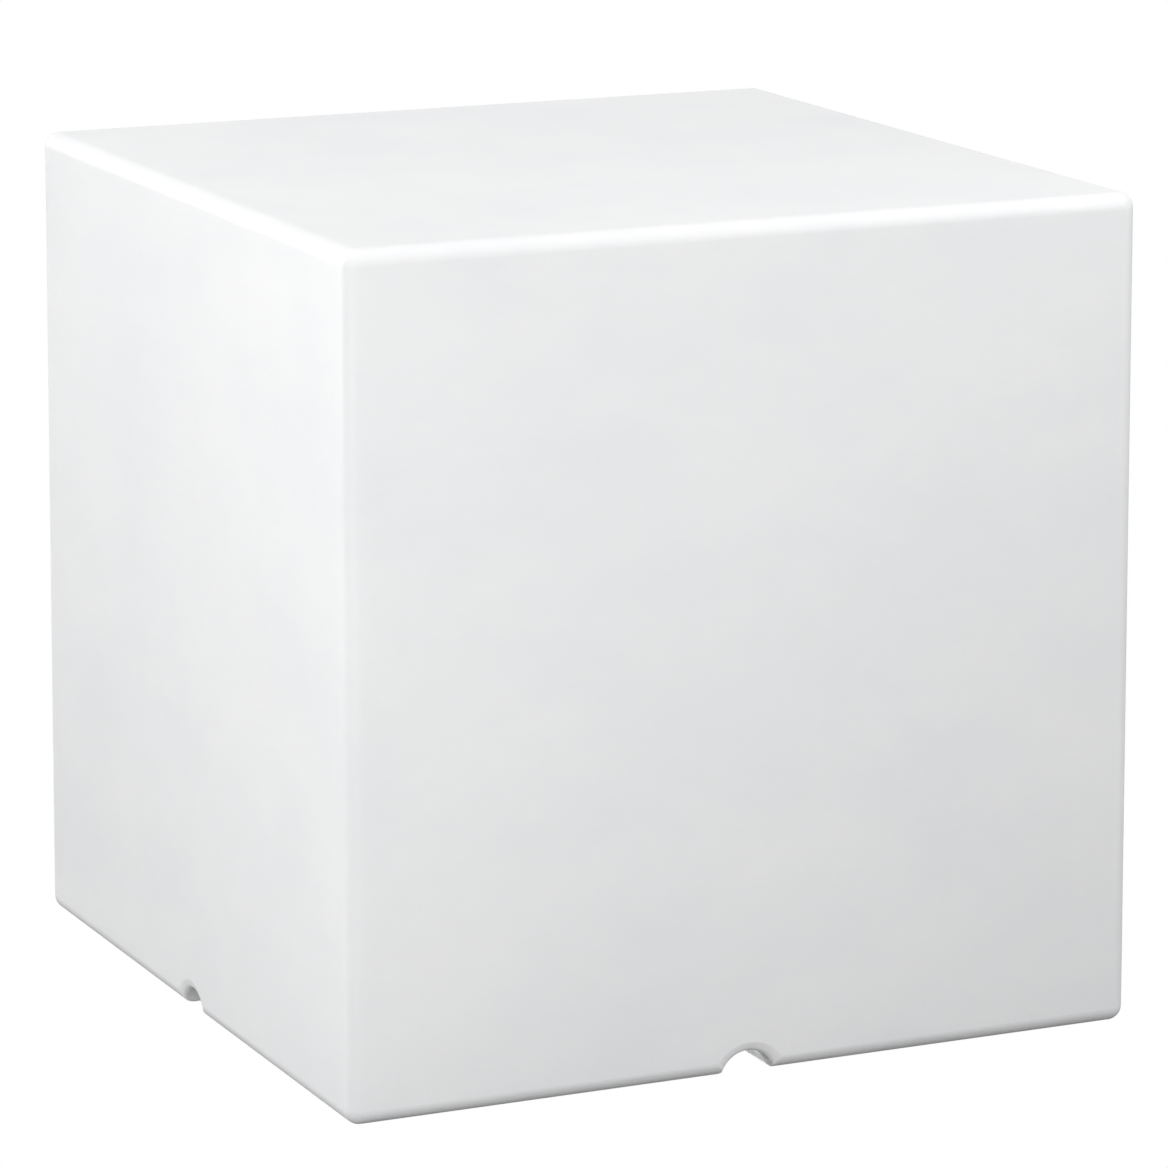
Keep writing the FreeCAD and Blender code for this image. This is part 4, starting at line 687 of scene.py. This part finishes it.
green_board = new_finish("green_board", (0.02, 0.16, 0.07), 0.35)
board_tree = green_board.node_tree
tracks = board_tree.nodes.new("ShaderNodeTexBrick")
tracks.offset = 0.5
tracks.inputs["Scale"].default_value = 1
tracks.inputs["Brick Width"].default_value = TRACK_LENGTH
tracks.inputs["Row Height"].default_value = TRACK_SPACING
tracks.inputs["Mortar Size"].default_value = TRACK_WIDTH
tracks.inputs["Mortar Smooth"].default_value = 0.3
tracks.inputs["Color1"].default_value = (0.014, 0.125, 0.052, 1)
tracks.inputs["Color2"].default_value = (0.018, 0.145, 0.062, 1)
tracks.inputs["Mortar"].default_value = (0.045, 0.26, 0.12, 1)
board_tree.links.new(own_place(green_board), tracks.inputs["Vector"])
board_tree.links.new(tracks.outputs["Color"], shader_of(green_board).inputs["Base Color"])
gloss(green_board, grain(green_board, 400, 3), 0.26, 0.42)
relief(green_board, tracks.outputs["Fac"], 0.00006, 0.5)
dress(green_board, "control_board")

chip_epoxy = new_finish("chip_epoxy", (0.02, 0.02, 0.022), 0.6)
tones(chip_epoxy, grain(chip_epoxy, 2500, 4, 0.7), (0.014, 0.014, 0.015), (0.030, 0.030, 0.032))
gloss(chip_epoxy, grain(chip_epoxy, 1500, 3), 0.5, 0.72)
relief(chip_epoxy, grain(chip_epoxy, 5000, 3), 0.00004, 0.5)
dress(chip_epoxy, "driver_chips", "remote_receiver")

LEGS = 6
LEG_PITCH = 0.001
LEG_WIDTH = 0.0004
LEG_THICK = 0.00018
LEG_ROOT = (-0.0002, 0.0009)
LEG_SHOULDER = (0.00035, 0.0009)
LEG_HEEL = (0.0006, LEG_THICK)
LEG_TOE = (0.0011, LEG_THICK)
CHIP_HALF = 0.0035
CHIP_PLACES = ((-0.0275, -0.0025), (-0.0275, 0.0115), (0.0075, -0.0095))
control_low, control_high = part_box("control_board")
board_middle = (control_low.y + control_high.y) / 2
board_level = control_high.z


def chip_leg():
    """A gull-wing leg that leaves a chip's side along +x, steps down and lies on the board."""
    form = bmesh.new()
    points = [form.verts.new((x, -LEG_WIDTH / 2, z))
              for x, z in (LEG_ROOT, LEG_SHOULDER, LEG_HEEL, LEG_TOE)]
    lines = [form.edges.new(pair) for pair in zip(points, points[1:])]
    wide = bmesh.ops.extrude_edge_only(form, edges=lines)["geom"]
    bmesh.ops.translate(form, vec=(0, LEG_WIDTH, 0),
                        verts=[item for item in wide if isinstance(item, bmesh.types.BMVert)])
    thick = bmesh.ops.extrude_face_region(form, geom=form.faces[:])["geom"]
    bmesh.ops.translate(form, vec=(0, 0, -LEG_THICK),
                        verts=[item for item in thick if isinstance(item, bmesh.types.BMVert)])
    return form


leg = chip_leg()
legs = bmesh.new()
for across, along in CHIP_PLACES:
    chip_place = Matrix.Translation((across, board_middle + along, board_level))
    for side in (0, math.pi):
        for number in range(LEGS):
            step = (number - (LEGS - 1) / 2) * LEG_PITCH
            beside = Matrix.Translation((CHIP_HALF, step, 0))
            add_copy(legs, leg, chip_place @ Matrix.Rotation(side, 4, "Z") @ beside)
leg.free()

tin = new_finish("tinned_copper", (0.75, 0.75, 0.73), 0.3, 1.0)
tones(tin, grain(tin, 1500, 3), (0.66, 0.66, 0.65), (0.80, 0.80, 0.78))
gloss(tin, grain(tin, 3000, 2), 0.22, 0.4)
new_piece("chip_legs", legs, tin)

ferrite = new_finish("ferrite", (0.09, 0.09, 0.095), 0.55)
tones(ferrite, grain(ferrite, 1800, 4, 0.7), (0.06, 0.06, 0.064), (0.12, 0.12, 0.125))
gloss(ferrite, grain(ferrite, 1200, 3), 0.45, 0.66)
relief(ferrite, grain(ferrite, 3500, 3), 0.00005, 0.5)
dress(ferrite, "power_choke")

CHOKE_WAIST = 0.0035
CHOKE_FLANGE = 0.0014
WIRE_RADIUS = 0.00035
WIRE_LAYERS = 2
LAYER_STEP = 1.8 * WIRE_RADIUS
TURN_STEPS = 24
choke_low, choke_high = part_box("power_choke")
choke_middle = Vector((0, (choke_low.y + choke_high.y) / 2, choke_low.z))
window = (choke_high.z - choke_low.z) - 2 * CHOKE_FLANGE
winding = bmesh.new()
for layer in range(WIRE_LAYERS):
    coil = bmesh.new()
    wire = bmesh.ops.create_circle(coil, cap_ends=True, segments=8, radius=WIRE_RADIUS)["verts"]
    bmesh.ops.rotate(coil, cent=(0, 0, 0), matrix=Matrix.Rotation(math.pi / 2, 3, "X"), verts=wire)
    first = Vector((CHOKE_WAIST + WIRE_RADIUS + LAYER_STEP * layer, 0, CHOKE_FLANGE + WIRE_RADIUS))
    bmesh.ops.translate(coil, vec=first, verts=wire)
    turns = int((window - 2 * WIRE_RADIUS) / (2 * WIRE_RADIUS))
    bmesh.ops.spin(coil, geom=coil.faces[:] + coil.edges[:] + coil.verts[:], cent=(0, 0, 0),
                   axis=(0, 0, 1), dvec=(0, 0, 2 * WIRE_RADIUS / TURN_STEPS),
                   angle=turns * 2 * math.pi, steps=turns * TURN_STEPS)
    add_copy(winding, coil, Matrix.Translation(choke_middle))
    coil.free()

enamelled_copper = new_finish("enamelled_copper", (0.62, 0.25, 0.10), 0.28, 1.0)
tones(enamelled_copper, grain(enamelled_copper, 900, 3), (0.52, 0.19, 0.07), (0.70, 0.31, 0.14))
gloss(enamelled_copper, grain(enamelled_copper, 2000, 2), 0.2, 0.36)
new_piece("choke_winding", winding, enamelled_copper, sharp=80)

CAPACITOR_RADIUS = 0.004
CRIMP_RADIUS = CAPACITOR_RADIUS * 0.93
CRIMP_LEVEL = 0.0015
CRIMP_HALF = 0.0004
BOTTOM_EDGE = 0.0003
TOP_EDGE = 0.0004
TOP_RADIUS = CAPACITOR_RADIUS * 0.94
SLEEVE_LIP = CAPACITOR_RADIUS * 0.82
BARE_RADIUS = CAPACITOR_RADIUS * 0.80
BARE_SINK = 0.00015
BARE_BELOW = 0.00022
CAN_POINTS = 48
capacitor_low, capacitor_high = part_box("capacitors")
can_rise = capacitor_high.z - capacitor_low.z
can = turned([
    (0, 0), (CRIMP_RADIUS, 0), (CAPACITOR_RADIUS, BOTTOM_EDGE),
    (CAPACITOR_RADIUS, CRIMP_LEVEL - CRIMP_HALF), (CRIMP_RADIUS, CRIMP_LEVEL),
    (CAPACITOR_RADIUS, CRIMP_LEVEL + CRIMP_HALF), (CAPACITOR_RADIUS, can_rise - TOP_EDGE),
    (TOP_RADIUS, can_rise), (SLEEVE_LIP, can_rise),
    (BARE_RADIUS, can_rise - BARE_SINK), (0, can_rise - BARE_SINK),
], CAN_POINTS, closed=False)
cans = bmesh.new()
for across in (capacitor_low.x + CAPACITOR_RADIUS, capacitor_high.x - CAPACITOR_RADIUS):
    add_copy(cans, can, Matrix.Translation((across, capacitor_low.y + CAPACITOR_RADIUS, board_level)))
can.free()

sleeve = new_finish("capacitor_can", (0.03, 0.035, 0.06), 0.3)
sleeve_tree = sleeve.node_tree
height = sleeve_tree.nodes.new("ShaderNodeSeparateXYZ")
sleeve_tree.links.new(own_place(sleeve), height.inputs["Vector"])
bare_top = sleeve_tree.nodes.new("ShaderNodeMath")
bare_top.operation = "GREATER_THAN"
bare_top.inputs[1].default_value = capacitor_high.z - BARE_BELOW
sleeve_tree.links.new(height.outputs["Z"], bare_top.inputs[0])
tones(sleeve, bare_top.outputs["Value"], (0.030, 0.035, 0.065), (0.74, 0.74, 0.74), 0.4, 0.6)
sleeve_tree.links.new(bare_top.outputs["Value"], shader_of(sleeve).inputs["Metallic"])
gloss(sleeve, grain(sleeve, 900, 3), 0.22, 0.38)
relief(sleeve, grain(sleeve, 600, 2, 0.5, (1, 1, 0.3)), 0.00005, 0.3)
new_piece("sleeved_capacitors", cans, sleeve, stands_for=("capacitors",))


# The lamp board
# An aluminium board under white solder resist, which throws the chips' light upward. Each chip is
# a white ceramic package with a round window of yellow phosphor.

white_board = new_finish("white_board", (0.85, 0.85, 0.83), 0.4)
tones(white_board, bubbles(white_board, 70, "DISTANCE_TO_EDGE"), (0.78, 0.79, 0.77), (0.87, 0.87, 0.85),
      0.02, 0.05)
gloss(white_board, grain(white_board, 300, 3), 0.3, 0.46)
relief(white_board, bubbles(white_board, 70, "DISTANCE_TO_EDGE"), 0.00004, 0.3)
dress(white_board, "lamp_board")

lamp_chip = new_finish("lamp_chip", (0.85, 0.84, 0.78), 0.35)
tones(lamp_chip, grain(lamp_chip, 700, 3), (0.80, 0.79, 0.73), (0.88, 0.87, 0.82))
gloss(lamp_chip, grain(lamp_chip, 1500, 2), 0.28, 0.44)
dress(lamp_chip, "lamp_chips")

INNER_RING = 0.024
INNER_CHIPS = 8
OUTER_CHIPS = 16
CHIP_SIDE = 0.005
WINDOW_RADIUS = 0.0018
WINDOW_RISE = 0.00025
WINDOW_SINK = 0.0002
WINDOW_DOME = ((0.97, 0.5), (0.7, 0.9), (0.0, 1.0))      # shares of the radius and the rise
WINDOW_POINTS = 24
chips_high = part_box("lamp_chips")[1]
window_dome = [(WINDOW_RADIUS * out, WINDOW_RISE * up) for out, up in WINDOW_DOME]
window_form = turned([(0, -WINDOW_SINK), (WINDOW_RADIUS, -WINDOW_SINK)] + window_dome, WINDOW_POINTS,
                     closed=False)
windows = bmesh.new()
outer_ring = chips_high.x - CHIP_SIDE
on_chip = Matrix.Translation((CHIP_SIDE / 2, CHIP_SIDE / 2, 0))
for place in (round_the_axis(INNER_CHIPS, INNER_RING, chips_high.z)
              + round_the_axis(OUTER_CHIPS, outer_ring, chips_high.z)):
    add_copy(windows, window_form, place @ on_chip)
window_form.free()

phosphor = new_finish("phosphor", (0.85, 0.72, 0.18), 0.3)
tones(phosphor, grain(phosphor, 3000, 3), (0.80, 0.62, 0.10), (0.90, 0.78, 0.26))
gloss(phosphor, grain(phosphor, 900, 2), 0.18, 0.34)
new_piece("phosphor_windows", windows, phosphor)


# The battery
# Two cells in blue heat-shrink sleeves with bare nickel-plated ends, lying in a black tray between
# nickel contact plates, and held down by the strap.

CELL_RADIUS = 0.0092
CELL_BOTTOM = ((0.0, 0.0), (0.86, 0.0), (0.93, 0.0003), (1.0, 0.0009))    # share of radius, height
CELL_CRIMP = ((1.0, 0.0030), (0.965, 0.0024), (1.0, 0.0018), (0.95, 0.0008))    # the same, from the top
CELL_KNOB = ((0.55, 0.0008), (0.42, 0.0010), (0.36, 0.0001), (0.30, 0.0), (0.0, 0.0))
CELL_POINTS = 64
BARE_END = 0.00085
cells_low, cells_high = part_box("battery_cells")
cell_length = cells_high.x - cells_low.x
cell = turned([(CELL_RADIUS * out, up) for out, up in CELL_BOTTOM]
              + [(CELL_RADIUS * out, cell_length - down) for out, down in CELL_CRIMP + CELL_KNOB],
              CELL_POINTS, closed=False)
pair = bmesh.new()
cell_level = (cells_low.z + cells_high.z) / 2
for number, along in enumerate((cells_low.y + CELL_RADIUS, cells_high.y - CELL_RADIUS)):
    laid = Matrix.Rotation(math.pi / 2 if number else -math.pi / 2, 4, "Y")
    end = cells_low.x if number else cells_high.x
    add_copy(pair, cell, Matrix.Translation((end, along, cell_level)) @ laid)
cell.free()

cell_wrap = new_finish("cell_wrap", (0.03, 0.16, 0.45), 0.3)
wrap_tree = cell_wrap.node_tree
along_cell = wrap_tree.nodes.new("ShaderNodeSeparateXYZ")
wrap_tree.links.new(own_place(cell_wrap), along_cell.inputs["Vector"])
from_middle = wrap_tree.nodes.new("ShaderNodeMath")
from_middle.operation = "ABSOLUTE"
wrap_tree.links.new(along_cell.outputs["X"], from_middle.inputs[0])
bare_end = wrap_tree.nodes.new("ShaderNodeMath")
bare_end.operation = "GREATER_THAN"
bare_end.inputs[1].default_value = cell_length / 2 - BARE_END
wrap_tree.links.new(from_middle.outputs["Value"], bare_end.inputs[0])
tones(cell_wrap, bare_end.outputs["Value"], (0.025, 0.14, 0.42), (0.68, 0.67, 0.64), 0.4, 0.6)
wrap_tree.links.new(bare_end.outputs["Value"], shader_of(cell_wrap).inputs["Metallic"])
gloss(cell_wrap, grain(cell_wrap, 500, 3), 0.22, 0.38)
relief(cell_wrap, grain(cell_wrap, 260, 4, 0.6, (0.2, 1, 1)), 0.0001, 0.25)
new_piece("sleeved_cells", pair, cell_wrap, stands_for=("battery_cells",))


# The wiring
# Natural nylon plugs with a latch and two side ribs. Three wires side by side run from the battery
# to its plug, and two short ones with a little slack go up to the plug under the lamp board.

PLUG_LENGTH = 0.009
PLUG_WIDTH = 0.006
PLUG_RISE = 0.006
PLUG_EDGE = 0.0003
PLUG_RIB_WIDTH = 0.0008
PLUG_RIB_THICK = 0.0006
PLUG_RIB_RISE = PLUG_RISE * 0.86
PLUG_RIB_PLACE = PLUG_LENGTH * 0.36
PLUG_RIB_EDGE = 0.00015
LATCH_WIDTH = 0.003
LATCH_RISE = PLUG_RISE * 0.7
LATCH_EDGE = 0.0002
plugs_low, plugs_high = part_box("lead_plugs")
BATTERY_PLUG = Vector((plugs_high.x - PLUG_LENGTH / 2, plugs_low.y + PLUG_WIDTH / 2, plugs_low.z))
LAMP_PLUG = Vector((plugs_low.x + PLUG_LENGTH / 2, plugs_high.y - PLUG_WIDTH / 2, plugs_low.z))
HANGING_PLUG = Vector((LAMP_PLUG.x, LAMP_PLUG.y, plugs_high.z - PLUG_RISE))


def rounded_block(form, size, middle, edge):
    """Add a block with rounded edges to a mesh under construction."""
    block = bmesh.new()
    bmesh.ops.create_cube(block, size=1)
    bmesh.ops.scale(block, vec=size, verts=block.verts)
    bmesh.ops.bevel(block, geom=block.edges[:], offset=edge, offset_type="OFFSET", segments=2,
                    affect="EDGES", profile=0.5, material=-1)
    add_copy(form, block, Matrix.Translation(middle))
    block.free()


def moulded_plug():
    """A plug that stands on height 0, with its latch on the +y side."""
    form = bmesh.new()
    half_rise = PLUG_RISE / 2
    body_width = PLUG_WIDTH - 2 * PLUG_RIB_THICK
    rounded_block(form, (PLUG_LENGTH, body_width, PLUG_RISE), (0, 0, half_rise), PLUG_EDGE)
    for side in (-1, 1):
        for along in (-1, 1):
            rounded_block(form, (PLUG_RIB_WIDTH, 2 * PLUG_RIB_THICK, PLUG_RIB_RISE),
                          (along * PLUG_RIB_PLACE, side * body_width / 2, half_rise), PLUG_RIB_EDGE)
    rounded_block(form, (LATCH_WIDTH, 2 * PLUG_RIB_THICK, LATCH_RISE), (0, body_width / 2, half_rise),
                  LATCH_EDGE)
    return form


plug_nylon = new_finish("plug_nylon", (0.8, 0.79, 0.73), 0.4)
tones(plug_nylon, grain(plug_nylon, 200, 4), (0.75, 0.73, 0.66), (0.83, 0.82, 0.77))
gloss(plug_nylon, grain(plug_nylon, 900, 2), 0.32, 0.48)
relief(plug_nylon, grain(plug_nylon, 2000, 2), 0.00004, 0.3)
plug_skin = shader_of(plug_nylon)
plug_skin.inputs["Subsurface Weight"].default_value = 0.3
plug_skin.inputs["Subsurface Scale"].default_value = 0.001

one_plug = moulded_plug()
plugs = bmesh.new()
for place in (BATTERY_PLUG, LAMP_PLUG, HANGING_PLUG):
    add_copy(plugs, one_plug, Matrix.Translation(place))
one_plug.free()
new_piece("ribbed_plugs", plugs, plug_nylon, stands_for=("lead_plugs",))


def wires(routes, radius):
    """Round wires along smooth curves, one for each route of control points."""
    line = bpy.data.curves.new("wire", "CURVE")
    line.dimensions = "3D"
    line.bevel_depth = radius
    line.bevel_resolution = 3
    line.resolution_u = 6
    line.use_fill_caps = True
    for route in routes:
        spline = line.splines.new("NURBS")
        spline.points.add(len(route) - 1)
        for point, place in zip(spline.points, route):
            point.co = (*place, 1)
        spline.order_u = 3
        spline.use_endpoint_u = True
    drawn = bpy.data.objects.new("wire", line)
    mesh = bpy.data.meshes.new_from_object(drawn)
    form = bmesh.new()
    form.from_mesh(mesh)
    bmesh.ops.remove_doubles(form, verts=form.verts, dist=1e-7)
    bpy.data.objects.remove(drawn)
    bpy.data.curves.remove(line)
    bpy.data.meshes.remove(mesh)
    return form


lead_pvc = new_finish("lead_pvc", (0.04, 0.04, 0.04), 0.45)
tones(lead_pvc, grain(lead_pvc, 400, 4, 0.6, (1, 1, 0.2)), (0.026, 0.026, 0.027), (0.055, 0.055, 0.056))
gloss(lead_pvc, grain(lead_pvc, 800, 3), 0.36, 0.54)
relief(lead_pvc, grain(lead_pvc, 1500, 2), 0.00005, 0.3)

WIRE_SPACING = 0.0017
TERMINAL_SPACING = 0.002
BATTERY_WIRE = 0.0008
TRAY_HOLD = 0.0004
TRAY_EXIT = 0.001
BEND = 0.002
RISE_STEP = 0.0024
RISE_START = 0.0045
TOP_BEND = 0.0022
FAN_START = -0.0015
FAN_MIDDLE = 0.0012
FAN_END = 0.0036
PLUG_HOLD = 0.001
battery_lead_low, battery_lead_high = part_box("battery_lead")
lead_middle = (battery_lead_low.x + battery_lead_high.x) / 2
from_tray = battery_lead_low.y
upright = from_tray + RISE_STEP
tray_level = battery_lead_low.z + BATTERY_WIRE
plug_level = battery_lead_high.z - BATTERY_WIRE
into_plug = BATTERY_PLUG.y - PLUG_WIDTH / 2 + PLUG_HOLD
battery_routes = []
for number in (-1, 0, 1):
    near = lead_middle + number * WIRE_SPACING
    far = BATTERY_PLUG.x + number * TERMINAL_SPACING
    battery_routes.append([
        (near, from_tray - TRAY_HOLD, tray_level), (near, from_tray + TRAY_EXIT, tray_level),
        (near, upright, tray_level), (near, upright, tray_level + BEND),
        (near, upright, tray_level + RISE_START), (near, upright, plug_level - BEND),
        (near, upright, plug_level), (near, upright + TOP_BEND, plug_level),
        (near, FAN_START, plug_level), ((near + far) / 2, FAN_MIDDLE, plug_level),
        (far, FAN_END, plug_level), (far, into_plug, plug_level),
    ])
new_piece("battery_wires", wires(battery_routes, BATTERY_WIRE), lead_pvc,
          stands_for=("battery_lead",), sharp=60)

LAMP_WIRE = 0.0006
LAMP_WIRE_SPACING = 0.0014
WIRE_HOLD = 0.0006
WIRE_RISE = 0.0008
BOW_HALF = 0.0016
TERMINAL_ALONG = 0.0013
TERMINAL_ACROSS = 0.0017
FIRST_TERMINAL = Vector((LAMP_PLUG.x - PLUG_LENGTH / 2 + TERMINAL_ALONG,
                         LAMP_PLUG.y - PLUG_WIDTH / 2 + TERMINAL_ACROSS, 0))
lamp_lead_low, lamp_lead_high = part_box("lamp_lead")
bow_middle = (lamp_lead_low + lamp_lead_high) / 2
plug_top = LAMP_PLUG.z + PLUG_RISE
lamp_routes = []
for number in (0, 1):
    terminal = FIRST_TERMINAL.x + number * TERMINAL_SPACING
    beside = bow_middle.x + (number - 0.5) * LAMP_WIRE_SPACING
    lamp_routes.append([
        (terminal, FIRST_TERMINAL.y, plug_top - WIRE_HOLD),
        (terminal, FIRST_TERMINAL.y, plug_top + WIRE_RISE),
        (beside, bow_middle.y, bow_middle.z - BOW_HALF), (beside, bow_middle.y, bow_middle.z),
        (beside, bow_middle.y, bow_middle.z + BOW_HALF),
        (terminal, FIRST_TERMINAL.y, HANGING_PLUG.z - WIRE_RISE),
        (terminal, FIRST_TERMINAL.y, HANGING_PLUG.z + WIRE_HOLD),
    ])
new_piece("lamp_wires", wires(lamp_routes, LAMP_WIRE), lead_pvc, stands_for=("lamp_lead",),
          sharp=60)
